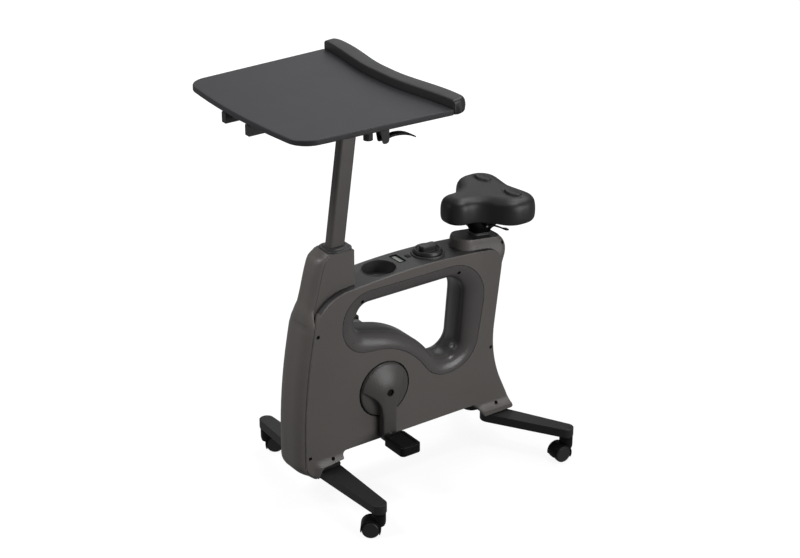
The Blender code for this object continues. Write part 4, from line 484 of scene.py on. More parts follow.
# flat side with its openings, flared over the legs, with the crank's well behind it
def sidePanel(side):
    h = housing
    holes = [grown(roundedPath(trimCorners, 14), h["seam"]), circlePath(wellRadius, 96, crankSpot)]
    holes += [circlePath(screw["hole"], 20, spot) for spot in sideScrews]
    bm = plateWithHoles(housingPath(), holes, h["half"] - h["plate"], h["half"], h["edge"], 0.0006)
    slicedBelow(bm, h["skirtTop"], [h["skirtTop"] - 0.0024 * k for k in range(18)], (0, 0, 1))
    slicedBelow(bm, h["skirtTop"], [-0.2985 + 0.0035 * k for k in range(9)]
                + [0.2655 + 0.0035 * k for k in range(9)], (1, 0, 0))
    for vert in bm.verts:
        vert.co.y += flareAt(vert.co.x, vert.co.z)
    well = spun([(0.019, 0.044), (wellRadius + 0.002, 0.044), (wellRadius + 0.002, 0.0605),
                 (wellRadius - 0.0002, 0.0605), (wellRadius - 0.0002, 0.0465), (0.019, 0.0465)],
                96, "Y")
    joined(bm, moved(well, Matrix.Translation((crankSpot[0], 0, crankSpot[1]))))
    if side < 0:
        mirrored(bm)
    return bm


# scoop that rolls from the flat side into the handle opening
def handleTrim(side):
    outer = roundedPath(trimCorners, 18)
    grip = roundedPath(gripCorners, 18)
    behind = grown(grip, housing["wall"])
    half, wall = housing["half"], housing["wall"]
    depth = half - housing["bandHalf"] - housing["gap"]
    lip = 0.0006
    loops = []
    for step in range(3):
        angle = pi / 2 * step / 2
        loops.append(atDepth(grown(outer, -lip * sin(angle)), half - lip + lip * sin(angle)))
    start = grown(outer, -lip)
    steps = 20
    for step in range(1, steps + 1):
        angle = pi / 2 * step / steps
        loops.append(atDepth(between(start, grip, sin(angle)), half - depth * (1 - cos(angle))))
    for step in range(6, -1, -1):
        angle = pi / 2 * step / 6
        y = half - wall - (depth - wall) * (1 - cos(angle))
        loops.append(atDepth(between(outer, behind, sin(angle)), y))
    bm = lofted(loops, ring=True)
    for x, z in trimScrews:
        hole = rod(screw["hole"], 0.030, 0.070, 20)
        bm = combined(bm, moved(hole, Matrix.Translation((x, 0, z))))
    if side < 0:
        mirrored(bm)
    return bm


# band round the inside of the handle opening, between the two scoops
def handleBand():
    grip = roundedPath(gripCorners, 18)
    behind = grown(grip, housing["wall"])
    half = housing["bandHalf"] - 0.0001
    rows = ((-half, 0.0005), (-half + 0.0006, 0.0), (half - 0.0006, 0.0), (half, 0.0005))
    loops = [atDepth(grown(grip, inset), y) for y, inset in rows]
    loops += [atDepth(behind, y) for y in (half, -half)]
    return lofted(loops, ring=True)


# how far along a closed path a point lies
def nearestShare(path, target):
    lengths, best = [0.0], (1e9, 0.0)
    for here, there in zip(path, path[1:] + path[:1]):
        along = there - here
        lengths.append(lengths[-1] + along.length)
        share = (Vector(target) - here).dot(along) / max(1e-12, along.length_squared)
        share = max(0.0, min(1.0, share))
        away = (here + along * share - Vector(target)).length
        best = min(best, (away, lengths[-2] + share * along.length))
    return best[1], lengths


# points along a closed path between two places, evenly spaced
def stretchOf(path, start, end, step):
    first, lengths = nearestShare(path, start)
    last, _ = nearestShare(path, end)
    if last < first:
        last += lengths[-1]
    count = ceil((last - first) / step)
    points = []
    for k in range(count + 1):
        spot = (first + (last - first) * k / count) % lengths[-1]
        index = max(i for i, value in enumerate(lengths[:-1]) if value <= spot + 1e-12)
        share = (spot - lengths[index]) / max(1e-12, lengths[index + 1] - lengths[index])
        points.append(path[index].lerp(path[(index + 1) % len(path)], share))
    return points


def pathNormals(path):
    found = []
    for k, _ in enumerate(path):
        along = (path[min(len(path) - 1, k + 1)] - path[max(0, k - 1)]).normalized()
        found.append(Vector((along.y, -along.x)))
    return found


# rows across a cover: up from each seam round an elliptical corner to a flat crown
def coverRows(path, halfWidth, bulge, corner, steps=10):
    rows = []
    for point, normal in zip(path, pathNormals(path)):
        half, rise, reach = halfWidth(point), bulge(point, normal), corner(point)
        side = []
        for step in range(steps + 1):
            angle = pi / 2 * step / steps
            side.append((half - reach + reach * cos(angle), rise * sin(angle)))
        crown = [(side[-1][0] * (1 - 2 * k / 6), rise) for k in range(1, 6)]
        across = [(-y, out) for y, out in side] + [(-y, out) for y, out in crown]
        across += [(y, out) for y, out in reversed(side)]
        rows.append([Vector((point[0] + normal.x * out, y, point[1] + normal.y * out))
                     for y, out in across])
    return rows


coverHalf = housing["half"] - housing["plate"] - housing["gap"]
housingHeart = (0.03, 0, 0.4)
neck = {"half": 0.038, "rear": -0.138, "top": 0.7345, "slotLength": 0.2626, "slotMiddle": -0.2689}
neckSeam = ((-0.2785, 0.542), (-0.273, 0.576), (-0.264, 0.603), (-0.256, 0.630),
            (-0.249, 0.658), (-0.242, 0.685), (-0.234, 0.710), (-0.227, 0.7215),
            (-0.2150, 0.7310))


# a smooth open curve through points, evenly sampled
def curveThrough(points, step):
    pts = [Vector(p) for p in points]
    pts = [pts[0] * 2 - pts[1]] + pts + [pts[-1] * 2 - pts[-2]]
    out = []
    for a, b, c, d in zip(pts, pts[1:], pts[2:], pts[3:]):
        count = max(1, ceil((c - b).length / step))
        for k in range(count):
            t = k / count
            out.append(0.5 * ((2 * b) + (c - a) * t + (2 * a - 5 * b + 4 * c - d) * t * t
                              + (3 * b - a - 3 * c + d) * t ** 3))
    return out + [pts[-2]]


seamCurve = curveThrough(neckSeam, 0.004)


# cover from the neck's front down to the toe, as narrow as the neck at its top
def frontCover():
    path = housingPath()
    body = stretchOf(path, (housing["front"] + 0.040, 0.525),
                     (housing["frontPivot"] - 0.050, housing["toe"]), 0.006)
    whole = curveThrough([*reversed(neckSeam)], 0.004) + body
    narrow = neck["half"] - 0.0004

    def halfWidth(point):
        full = coverHalf + flareAt(point[0], point[1])
        return narrow + (full - narrow) * (1 - smoothStep(0.535, 0.590, point[1]))

    def bulge(point, normal):
        rise = 0.020 * max(0.0, -normal.x) ** 1.8
        top = 0.009 * smoothStep(0.690, 0.712, point[1])
        return max(rise, top, 0.001)

    def corner(point):
        return 0.038 - 0.013 * smoothStep(0.535, 0.600, point[1])

    return shell(coverRows(whole, halfWidth, bulge, corner), (-0.15, 0, 0.4), housing["wall"])


# where each post leaves the housing, as x and height, and how far it leans back
postFoot, postLean = (-0.1755, 0.742), radians(7.75)
seatFoot, seatLean = (0.312, 0.654), radians(7.0)
post = {"size": (0.050, 0.031), "corner": 0.009, "bore": (0.045, 0.026, 0.0065), "lip": 0.0055}
tubeHole = (0.0560, 0.0370, 0.010)


# neck that the post leaves the housing through
def neckCover():
    seam = [Vector((p.x + 0.0008, p.y)) for p in seamCurve]
    rear = roundedPath([(-0.2095, neck["top"], 0), (neck["rear"], neck["top"], 0.004),
                        (neck["rear"], housing["deck"] - 0.012, 0)])
    foot = [Vector(p) for p in ((-0.190, 0.613), (-0.232, 0.594), (-0.259, 0.566))]
    profile = seam[1:] + rear + foot
    half = neck["half"]
    bm = extruded(profile, -half, half, "XZ")

    def rimEdge(edge):
        a, b = (v.co for v in edge.verts)
        flat = abs(abs(a.y) - half) < 1e-6 and abs(a.y - b.y) < 1e-6
        return flat and not (max(a.z, b.z) < 0.63 and min(a.x, b.x) < neck["rear"] - 0.001)

    edgesRounded(bm, 0.0030, 4, 60, rimEdge)
    hole = extruded(boxPath(*tubeHole), -0.030, 0.03)
    return combined(bm, moved(hole, placed(postFoot, postLean)))


# two-step cap round the foot of the post
def postCap():
    low = neck["top"] + housing["gap"]
    middle, length, width = (-0.174, 0), 0.079, 2 * neck["half"]
    steps = ((0.0, 0.0008), (0.0006, 0.0), (0.0022, 0.0), (0.0032, 0.0005), (0.0040, 0.0018),
             (0.0044, 0.0042), (0.0045, 0.0072), (0.0050, 0.0084), (0.0066, 0.0088),
             (0.0077, 0.0093), (0.0085, 0.0112))
    loops = [atHeight(boxPath(length - 2 * inset, width - 2 * inset, 0.024 - inset, middle, 12),
                      low + rise) for rise, inset in steps]
    bm = lofted(loops)
    bore = boxPath(0.0524, 0.0334, 0.0102)
    return combined(bm, moved(extruded(bore, -0.04, 0.03), placed(postFoot, postLean)))


shoulder = {"top": (-0.262, 0.580), "foot": (-0.284, 0.520)}


# block that opens a cover where the neck stands
def neckSlot(width, low, high):
    slot = boxPath(neck["slotLength"], width, 0, (neck["slotMiddle"], 0))
    return extruded(slot, low, high)


# rounded corner of the housing on either side of the neck
def shoulderCover():
    path = stretchOf(housingPath(), shoulder["top"], shoulder["foot"], 0.004)
    rows = coverRows(path, lambda p: coverHalf, lambda p, n: 0.0, lambda p: 0.004, 2)
    return combined(shell(rows, housingHeart, housing["wall"]), neckSlot(0.060, 0.4, 0.8))


def topCover():
    h = housing
    path = stretchOf(housingPath(), (h["rearTop"] - 0.003, 0.566), shoulder["top"], 0.012)
    rows = coverRows(path, lambda p: coverHalf, lambda p, n: 0.0, lambda p: 0.004, 2)
    bm = shell(rows, housingHeart, h["wall"])
    bm = combined(bm, neckSlot(2 * neck["half"] + 0.0008, 0.5, 0.8))
    for hole in (circlePath(cup["radius"] + 0.0023, 80, (cup["x"], 0)),
                 boxPath(*[side + 0.0003 for side in lens["frame"]], 0.0025, lens["middle"]),
                 boxPath(*[side + 0.0006 for side in button["size"]], 0.0032, button["middle"])):
        bm = combined(bm, extruded(hole, 0.6, 0.7))
    sleeve = extruded(boxPath(0.0645, 0.0455, 0.014), -0.12, 0.06)
    return combined(bm, moved(sleeve, placed(seatFoot, seatLean)))


# cap that carries the seat post, with a rim round its top and a soft nose; each level has
# its height, its rear end, its half width in front and behind, and how far the nose draws in
def towerCover():
    levels = ((-0.0012, 0.0455, 0.0362, 0.0362, 0.0085), (-0.0012, 0.0478, 0.0384, 0.0384, 0.0062),
              (0.0004, 0.0482, 0.0388, 0.0388, 0.0056), (0.0006, 0.0504, 0.0402, 0.0402, 0.0040),
              (0.0000, 0.0516, 0.0410, 0.0410, 0.0028), (-0.0012, 0.0524, 0.0415, 0.0415, 0.0018),
              (-0.0036, 0.0545, 0.0420, 0.0422, 0.0008), (-0.006, 0.0578, 0.0425, 0.0427, 0.0004),
              (-0.009, 0.0617, 0.0428, 0.0433, 0.0002), (-0.012, 0.0645, 0.0430, 0.0440, 0.0),
              (-0.016, 0.0672, 0.0431, 0.0454, 0.0), (-0.020, 0.0690, 0.0432, 0.0470, 0.0),
              (-0.025, 0.0705, 0.0433, 0.0495, 0.0), (-0.030, 0.0712, 0.0434, 0.0520, 0.0),
              (-0.040, 0.0709, 0.0435, 0.0555, 0.0), (-0.050, 0.0698, 0.0436, 0.0574, 0.0),
              (-0.063, 0.0676, 0.0436, 0.0574, 0.0), (-0.076, 0.0650, 0.0436, 0.0574, 0.0),
              (-0.110, 0.0570, 0.0436, 0.0574, 0.0))
    nose = -0.092
    loops = []
    for height, rear, halfFront, halfRear, drawn in levels:
        corner = min(0.024, halfRear - 0.001)
        corners = [(nose + drawn, -halfFront, halfFront - 0.0004), (rear, -halfRear, corner),
                   (rear, halfRear, corner), (nose + drawn, halfFront, halfFront - 0.0004)]
        loops.append(atHeight(roundedPath(corners, 14), height))
    spot = placed(seatFoot, seatLean)
    bm = moved(lofted(loops), spot)
    bm = combined(bm, extruded(grown(housingPath(), 0.0004), -0.09, 0.09, "XZ"))
    bm = combined(bm, moved(extruded(boxPath(*tubeHole), -0.05, 0.02), spot))
    for side, _ in sides:
        hole = circlePath(screw["hole"], 20, towerScrew)
        bm = combined(bm, extruded(hole, side * 0.0392, side * 0.07, "XZ"))
    return bm


# darker sheet let into the top of the tower, inside its bright rim: painted shadow of the saddle
# above it
def towerShadowSheet():
    corners = [(-0.0850, -0.0376, 0.0372), (0.0472, -0.0376, 0.023), (0.0472, 0.0376, 0.023),
               (-0.0850, 0.0376, 0.0372)]
    sheet = extruded(roundedPath(corners, 14), -0.0014, -0.0006)
    sheet = combined(sheet, extruded(boxPath(*tubeHole), -0.05, 0.02))
    return moved(sheet, placed(seatFoot, seatLean))


rearCrease = 0.536


# cover down the rear, proud below a crease and flush above it
def rearCover():
    h = housing
    path = stretchOf(housingPath(), (h["heel"], h["skirt"] + 0.004), (h["rearTop"] - 0.003, 0.566),
                     0.005)

    def bulge(point, normal):
        low = smoothStep(h["skirt"], 0.150, point[1])
        return 0.0068 * low * smoothStep(rearCrease, rearCrease - 0.009, point[1])

    rows = coverRows(path, lambda p: coverHalf + flareAt(p[0], p[1]), bulge, lambda p: 0.014)
    return shell(rows, (0.1, 0, 0.35), h["wall"])


def bottomCover():
    h = housing
    path = stretchOf(housingPath(), (h["frontAnkle"], h["skirt"] + 0.024),
                     (h["rearAnkle"] + 0.010, h["skirt"] + 0.026), 0.012)
    rows = coverRows(path, lambda p: coverHalf, lambda p, n: 0.0, lambda p: 0.004, 2)
    return shell(rows, housingHeart, 0.0025)


# console sizes, for which the top cover is cut
cup = {"x": -0.033, "radius": 0.048, "depth": 0.045}
lens = {"middle": (0.0425, 0.0165), "size": (0.0200, 0.0500), "frame": (0.0234, 0.0534),
        "sunk": 0.0042}
button = {"middle": (0.0746, 0.0138), "size": (0.0135, 0.0176)}
knob = {"x": 0.133, "radius": 0.041, "base": 0.048, "ring": 0.005, "height": 0.012,
        "grip": (0.054, 0.026, 0.0115)}

for side, name in sides:
    piece(name + "PanelSkin", sidePanel(side), "base", "housing", [name + "_side_panel"], 30, True)
    piece(name + "TrimSkin", handleTrim(side), "base", "housing", [name + "_handle_trim"], 40,
          finish="trim")
    heads = bmesh.new()
    for x, z in sideScrews:
        joined(heads, screwHead(x, side * (housing["half"] + flareAt(x, z)), z, side))
    for x, z in trimScrews:
        joined(heads, screwHead(x, side * screw["trimDepth"], z, side))
    joined(heads, screwHead(towerScrew[0], side * screw["towerDepth"], towerScrew[1], side,
                            screw["towerHead"]))
    piece(name + "CoverScrews", heads, "base", "black_plastic", finish="screw")
piece("handleBandSkin", handleBand(), "base", "housing", ["handle_band"], 40, finish="trim")
piece("frontCoverSkin", frontCover(), "base", "housing", ["front_cover"], 40)
piece("neckSkin", neckCover(), "base", "housing", ["neck_cover"], 30, True)
piece("postCapSkin", postCap(), "base", "deck", ["post_collar"], 40)
piece("topCoverSkin", topCover(), "base", "deck", ["top_cover"], 30, True)
piece("shoulderSkin", shoulderCover(), "base", "housing", (), 40)
piece("towerSkin", towerCover(), "base", "housing", ["tower_cover"], 30, True)
piece("towerShadowSheet", towerShadowSheet(), "base", "deck")
piece("rearCoverSkin", rearCover(), "base", "housing", ["rear_cover"], 40)
piece("bottomCoverSkin", bottomCover(), "base", "black_plastic", ["bottom_cover"], 40)
print("housing covers made")


# console

deckLine = [p for p in housingPath() if p.y > 0.60]


# height of the crowned deck over a place along it
def deckAt(x):
    for here, there in zip(deckLine, deckLine[1:]):
        if min(here.x, there.x) <= x <= max(here.x, there.x) and here.x != there.x:
            return here.y + (there.y - here.y) * (x - here.x) / (there.x - here.x)
    return housing["deck"]


def cupHolder():
    deck, wall, low = housing["deck"], 0.0018, housing["deck"] - cup["depth"]
    r = cup["radius"]
    profile = [(0, low - wall), (r - 0.006, low - wall), (r + wall, low + 0.006),
               (r + wall, deck + 0.0001), (r + 0.0030, deck + 0.0001), (r + 0.0033, deck + 0.0004),
               (r + 0.0030, deck + 0.0008), (r + 0.0006, deck + 0.0008), (r, deck + 0.0003),
               (r - 0.0006, low + 0.009), (r - 0.0018, low + 0.004), (r - 0.005, low + 0.0012),
               (r - 0.009, low), (0, low)]
    bm = moved(spun(profile, 96), Matrix.Translation((cup["x"], 0, 0)))
    for vert in bm.verts:                       # the rim lies on the sloping deck
        vert.co.z += smoothStep(low + 0.01, deck, vert.co.z) * (deckAt(vert.co.x) - deck)
    return bm


# dished dial, with a grip bar across it that flows into the dish
def knobDial():
    base = housing["deck"] + knob["ring"] - 0.003 + housing["gap"]
    top, r = base + knob["height"], knob["radius"]
    profile = [(0, base), (r - 0.0006, base), (r, base + 0.0006), (r, base + 0.0035),
               (r - 0.0008, base + 0.0060), (r - 0.0024, top - 0.0014), (r - 0.0036, top - 0.0004),
               (r - 0.0050, top), (r - 0.0066, top - 0.0004), (r - 0.0084, top - 0.0016),
               (r - 0.0110, top - 0.0034), (r - 0.0150, top - 0.0050), (r - 0.0190, top - 0.0056),
               (0, top - 0.0057)]
    bm = spun(profile, 96)
    long, wide, high = knob["grip"]
    bar = extruded(boxPath(long, wide, wide / 2 - 0.003, steps=12), top - 0.0090, top + high)
    edgesRounded(bar, 0.0030, 4, 60)
    bm = melted(combined(bm, bar, "UNION"), 0.0009, 3)
    return moved(bm, Matrix.Translation((knob["x"], 0, 0)))


def knobBase():
    low, high = housing["deck"] - 0.0045, housing["deck"] + knob["ring"] - 0.001
    r, dial = knob["base"], knob["radius"]
    profile = [(dial + 0.0012, low), (r, low), (r, high - 0.0022), (r - 0.0006, high - 0.0008),
               (r - 0.0020, high), (dial + 0.0028, high), (dial + 0.0018, high - 0.0006),
               (dial + 0.0012, high - 0.0018)]
    floor = [(0.007, low), (dial + 0.002, low), (dial + 0.002, low + 0.005), (0.007, low + 0.005)]
    return moved(joined(spun(profile, 96), spun(floor, 64)), Matrix.Translation((knob["x"], 0, 0)))


# tray round the display, whose walls go down to the sunk pane
def lensFrame():
    top, low = housing["deck"] + 0.0006, housing["deck"] - lens["sunk"] - 0.0020
    bm = extruded(boxPath(*lens["frame"], 0.0023, lens["middle"]), low, top)
    bm = combined(bm, extruded(boxPath(*lens["size"], 0.0016, lens["middle"]), low + 0.0012, 0.7))
    return edgesRounded(bm, 0.0003, 2, 60)


def lensPane():
    low = housing["deck"] - lens["sunk"] - 0.0006
    path = boxPath(*[side - 0.0003 for side in lens["size"]], 0.0014, lens["middle"])
    return extruded(path, low, low + 0.0006)


def buttonCap():
    low, high = housing["deck"] - 0.0033, housing["deck"] + 0.0012
    bm = extruded(boxPath(*button["size"], 0.0028, button["middle"], 6), low, high)
    return edgesRounded(bm, 0.0007, 3, 60)


piece("cupSkin", cupHolder(), "base", "deck", ["cup_holder"], 40)
piece("knobBaseRing", knobBase(), "base", "deck")
piece("knobSkin", knobDial(), "knob", "deck", ["resistance_knob"], 60, finish="knob")
piece("displayFrame", lensFrame(), "base", "black_plastic")
piece("displayPane", lensPane(), "base", "lens", ["display_lens"])
piece("buttonSkin", buttonCap(), "button", "black_plastic", ["console_button"])
print("console made")


# cranks and pedals

crankValues = {"length": 0.135, "half": 0.0225, "end": 0.0185, "back": 0.0572, "inner": 0.066,
               "face": 0.093, "floor": 0.0805, "bore": 0.0115, "disc": 0.080, "head": 0.0775,
               "headFrom": 38, "headSweep": 134, "flat": 0.014, "slope": 0.064, "fall": 0.0245,
               "rowStep": 0.0095}
discProfile = [(0.080, 0.0612), (0.0790, 0.0640), (0.0760, 0.0662), (0.066, 0.0672),
               (0.050, 0.0677), (0, 0.0680)]
pedalValues = {"width": 0.066, "length": 0.092, "height": 0.028, "inner": 0.103, "bore": 0.0078,
               "ribs": 7, "ribStep": 0.0095}


# flat disc under an arm whose head spreads over it as a dome, with a pill round the bolt hole
def crankArm(side):
    c = crankValues
    rim, tip, half = c["disc"], c["length"], c["half"]
    bm = spun([(0, c["back"]), (rim - 0.001, c["back"]), (rim, c["back"] + 0.001)] + discProfile,
              96, "Y")
    head = [(c["head"] * cos(a), c["head"] * sin(a), 0)
            for a in (radians(c["headFrom"] + k * c["headSweep"] / 18) for k in range(19))]
    arm = [(-half, -tip - c["end"], 0.016), (half, -tip - c["end"], 0.016), (half, -0.052, 0.120)]
    arm += head + [(-0.030, -0.022, 0.060), (-half, -0.075, 0.060)]
    bar = extruded(roundedPath(arm, 12), c["inner"], c["face"] - 0.0006, "XZ")
    edgesRounded(bar, 0.0035, 3, 60)
    for level in range(16):                     # rows of vertices for the dome to bend
        for spot, normal in (((0, 0, c["rowStep"] * level - 0.066), (0, 0, 1)),
                             ((c["rowStep"] * level - 0.071, 0, 0), (1, 0, 0))):
            bmesh.ops.bisect_plane(bar, geom=bar.verts[:] + bar.edges[:] + bar.faces[:],
                                   plane_co=spot, plane_no=normal)
    for vert in bar.verts:                      # the face falls away to the rim
        if vert.co.y > c["inner"] + 0.010:
            away = hypot(vert.co.x, vert.co.z) if vert.co.z > 0 else abs(vert.co.x)
            share = min(1.0, max(0.0, away - c["flat"]) / c["slope"])
            vert.co.y -= c["fall"] * share ** 1.5
    bm = melted(joined(bm, bar), 0.0013, 7)
    pill = roundedPath([(-0.0135, -0.046, 0.0130), (0.0135, -0.046, 0.0130),
                        (0.0165, 0.0165, 0.0160), (-0.0165, 0.0165, 0.0160)], 12)
    plate = extruded(pill, c["face"] - 0.004, c["face"] - 0.0001, "XZ")
    edgesRounded(plate, 0.0005, 2, 60)
    bm = joined(*[combined(body, rod(c["bore"], c["floor"], 0.12, 48)) for body in (bm, plate)])
    turn = Matrix.Rotation(0 if side < 0 else pi, 4, "Y")
    spindle = spun([(0, 0.083), (0.0098, 0.083), (0.0098, 0.1026), (0.0070, 0.1028),
                    (0.0070, 0.1826), (0.0062, 0.1830), (0, 0.1830)], 40, "Y")
    moved(spindle, Matrix.Translation((0, 0, -tip)))
    for body in (bm, spindle):
        if side < 0:
            mirrored(body)
        moved(body, Matrix.Translation((crankSpot[0], 0, crankSpot[1])) @ turn)
    return bm, spindle


# block pedal with a raised frame round a sunk, ribbed tread on both faces
def pedalBody(side):
    c = pedalValues
    width, length, height = c["width"], c["length"], c["height"]
    middle = (0, c["inner"] + length / 2)
    bm = extruded(boxPath(width, length, 0.012, middle, 10), -height / 2, height / 2)
    edgesRounded(bm, 0.0020, 4, 60)
    for sign in (-1, 1):
        rim = extruded(boxPath(width - 0.007, length - 0.007, 0.0095, middle, 8),
                       sign * height / 2, sign * (height / 2 + 0.0014))
        edgesRounded(rim, 0.0005, 2, 60)
        bm = combined(bm, rim, "UNION")
        sunk = extruded(boxPath(width - 0.021, length - 0.021, 0.0045, middle, 6),
                        sign * (height / 2 - 0.0006), sign * (height / 2 + 0.004))
        bm = combined(bm, sunk)
        for k in range(c["ribs"]):
            place = (0, middle[1] + (k - (c["ribs"] - 1) / 2) * c["ribStep"])
            rib = extruded(boxPath(width - 0.026, 0.0030, 0.0012, place, 4),
                           sign * (height / 2 - 0.001), sign * (height / 2 + 0.0006))
            edgesRounded(rib, 0.0004, 2, 60)
            joined(bm, rib)
    bm = combined(bm, rod(c["bore"], 0.09, 0.184, 32))
    if side < 0:
        mirrored(bm)
    drop = -crankValues["length"] if side < 0 else crankValues["length"]
    return moved(bm, Matrix.Translation((crankSpot[0], 0, crankSpot[1] + drop)))


for side, name in sides:
    arm, spindle = crankArm(side)
    piece(name + "CrankSkin", arm, "crank", "deck", [name + "_crank"], 60, finish="crankPlastic")
    piece(name + "Spindle", spindle, "crank", "bright_steel")
    piece(name + "PedalSkin", pedalBody(side), name + "_pedal", "black_plastic",
          [name + "_pedal"], 34)
print("cranks and pedals made")


# desk

desk = {"top": 1.180, "thick": 0.0155, "half": 0.300, "taper": 0.05, "front": -0.4697,
        "corner": 0.062, "edge": 0.0028}
pad = {"top": 1.206, "frontMiddle": -0.034, "frontEnds": -0.005, "rearMiddle": 0.0165,
       "rearEnds": 0.045, "frontEdge": 0.0030, "endTop": 0.010, "endPlan": 0.030}


# x of the pad's front face, where it meets the board
def padFront(y):
    swing = smoothStep(0.03, 0.30, abs(y))
    return pad["frontMiddle"] + (pad["frontEnds"] - pad["frontMiddle"]) * swing


def padRear(y):
    swing = smoothStep(0.02, 0.25, abs(y))
    return pad["rearMiddle"] + (pad["rearEnds"] - pad["rearMiddle"]) * swing


def deskBoard():
    half, front = desk["half"], desk["front"]
    frontY = half + desk["taper"] * (front + 0.020)
    rim = roundedPath([(pad["frontEnds"], -half, 0), (pad["frontEnds"], half, 0),
                       (front + 0.019, frontY, desk["corner"]), (front - 0.009, 0, 1.9),
                       (front + 0.019, -frontY, desk["corner"])])[2:]
    count = 60
    rear = []
    for k in range(count + 1):                  # the rear edge follows the pad
        y = -half + 2 * half * k / count
        rear.append(Vector((padFront(y) - 0.0004, y)))
    bm = extruded(rear + rim, desk["top"] - desk["thick"], desk["top"])
    return edgesRounded(bm, desk["edge"], 4, 60)


# soft rest along the rear edge, crowned and drawn in at its ends
def wristPad():
    low, edge, half = desk["top"] - desk["thick"] + 0.0005, pad["frontEdge"], desk["half"]
    stations = 110
    loops = []

    def quarter(inside, reach):                 # how far in a rounded end has drawn at a place
        share = min(1.0, max(0.0, inside / reach))
        return reach * (1 - sqrt(share * (2 - share)))

    for k in range(stations + 1):
        y = -half * cos(pi * k / stations)
        inside = half - abs(y)
        front = padFront(y) + quarter(inside, 0.003)
        width = padRear(y) - quarter(inside, pad["endPlan"]) - front
        high = pad["top"] - quarter(inside, pad["endTop"]) - low
        section = [(0.0, 0.004), (0.0, high - edge - 0.012), (0.0, high - edge - 0.0015)]
        section += [(edge - edge * cos(t), high - 0.0015 - edge + edge * sin(t))
                    for t in (radians(15 * n) for n in range(1, 7))]
        section += [(edge + (width * 0.66 - edge) * n / 5, high - 0.0015 * (1 - n / 5) ** 2)
                    for n in range(1, 6)]
        drop = min(0.024, high - 0.006)
        section += [(width * (0.66 + 0.34 * sin(t)), high - drop * (1 - cos(t)))
                    for t in (radians(11.25 * n) for n in range(1, 9))]
        section += [(width, high - drop - 0.002), (width - 0.0015, 0.0045), (width - 0.005, 0.001),
                    (width - 0.010, 0.0), (0.010, 0.0), (0.001, 0.001)]
        loops.append([Vector((front + a, y, low + b)) for a, b in section])
    return lofted(loops)


piece("boardSkin", deskBoard(), "desk", "board", ["desk_board"], 30, True)
wrist = piece("wristPadSkin", wristPad(), "desk", "pad", ["wrist_pad"], 60)

tubePlaces = (("postSkin", "desk_lift", "desk_post", postFoot, postLean, -0.150, 0.384),
              ("seatPostSkin", "seat", "seat_post", seatFoot, seatLean, -0.290, 0.039))
for name, body, node, foot, lean, low, high in tubePlaces:
    tube = extruded(boxPath(*post["size"], post["corner"], steps=14), low, high)
    bore = extruded(boxPath(*post["bore"], steps=8), low - 0.01, high - 0.02)
    tube = moved(combined(tube, bore), placed(foot, lean))
    piece(name, tube, body, "post", [node], 30, True)

leverPins = {"desk": (-0.188, -0.250, 1.126), "seat": (0.300, -0.046, 0.696)}


# a lever's blade: boxes along a bent middle line, sized by the share of its length
def blade(bends, boxAt, steps):
    middle = curveThrough(bends, 0.004)
    loops = []
    for k, spot in enumerate(middle):
        ring = boxPath(*boxAt(k / (len(middle) - 1)), steps=steps)
        loops.append([Vector((spot.x, p.x, spot.y + p.y)) for p in ring])
    return lofted(loops)


# lever under the board: a tube on the pin and a curved paddle
def deskLever():
    bm = spun([(0.0038, -0.0095), (0.0064, -0.0095), (0.0070, -0.0088), (0.0070, 0.0088),
               (0.0064, 0.0095), (0.0038, 0.0095)], 40, "Y")

    def boxAt(share):
        wide = 0.0085 + 0.0037 * smoothStep(0, 0.7, share) - 0.0026 * smoothStep(0.75, 1, share)
        deep = 0.0045 - 0.0025 * share
        return 2 * wide, 2 * deep, min(deep, wide) * 0.8

    paddle = blade([(0.0, 0.0), (0.020, 0.006), (0.045, 0.006), (0.070, 0.0), (0.094, -0.012)],
                   boxAt, 5)
    bm = melted(combined(bm, paddle, "UNION"), 0.0007, 3)
    return moved(bm, Matrix.Translation(leverPins["desk"]))


piece("deskLeverSkin", deskLever(), "desk_lever", "black_plastic", ["desk_lever"], 60)
print("desk made")


# saddle

saddle = {"nose": 0.190, "rear": 0.445, "half": 0.136, "bottom": 0.713, "top": 0.787,
          "oval": {"x": 0.376, "y": 0.069, "reachX": 0.0195, "reachY": 0.033, "rise": 0.0048,
                   "groove": 0.0022}}


# plan: round nose, waist, and two lobes with a notch between them
def saddlePath(inset, steps=14):
    nose = 0.0485
    waist, shoulder = saddle["nose"] + 0.084, saddle["rear"] - 0.118
    near = [(saddle["nose"], -nose, 0.044), (waist, -nose - 0.002, 0.060),
            (shoulder, -saddle["half"], 0.062), (saddle["rear"], -saddle["half"], 0.058)]
    corners = near + [(saddle["rear"] - 0.024, 0.0, 0.070)]
    corners += [(x, -y, r) for x, y, r in reversed(near)]
    path = roundedPath(corners, steps)
    return grown(path, -inset) if inset else path


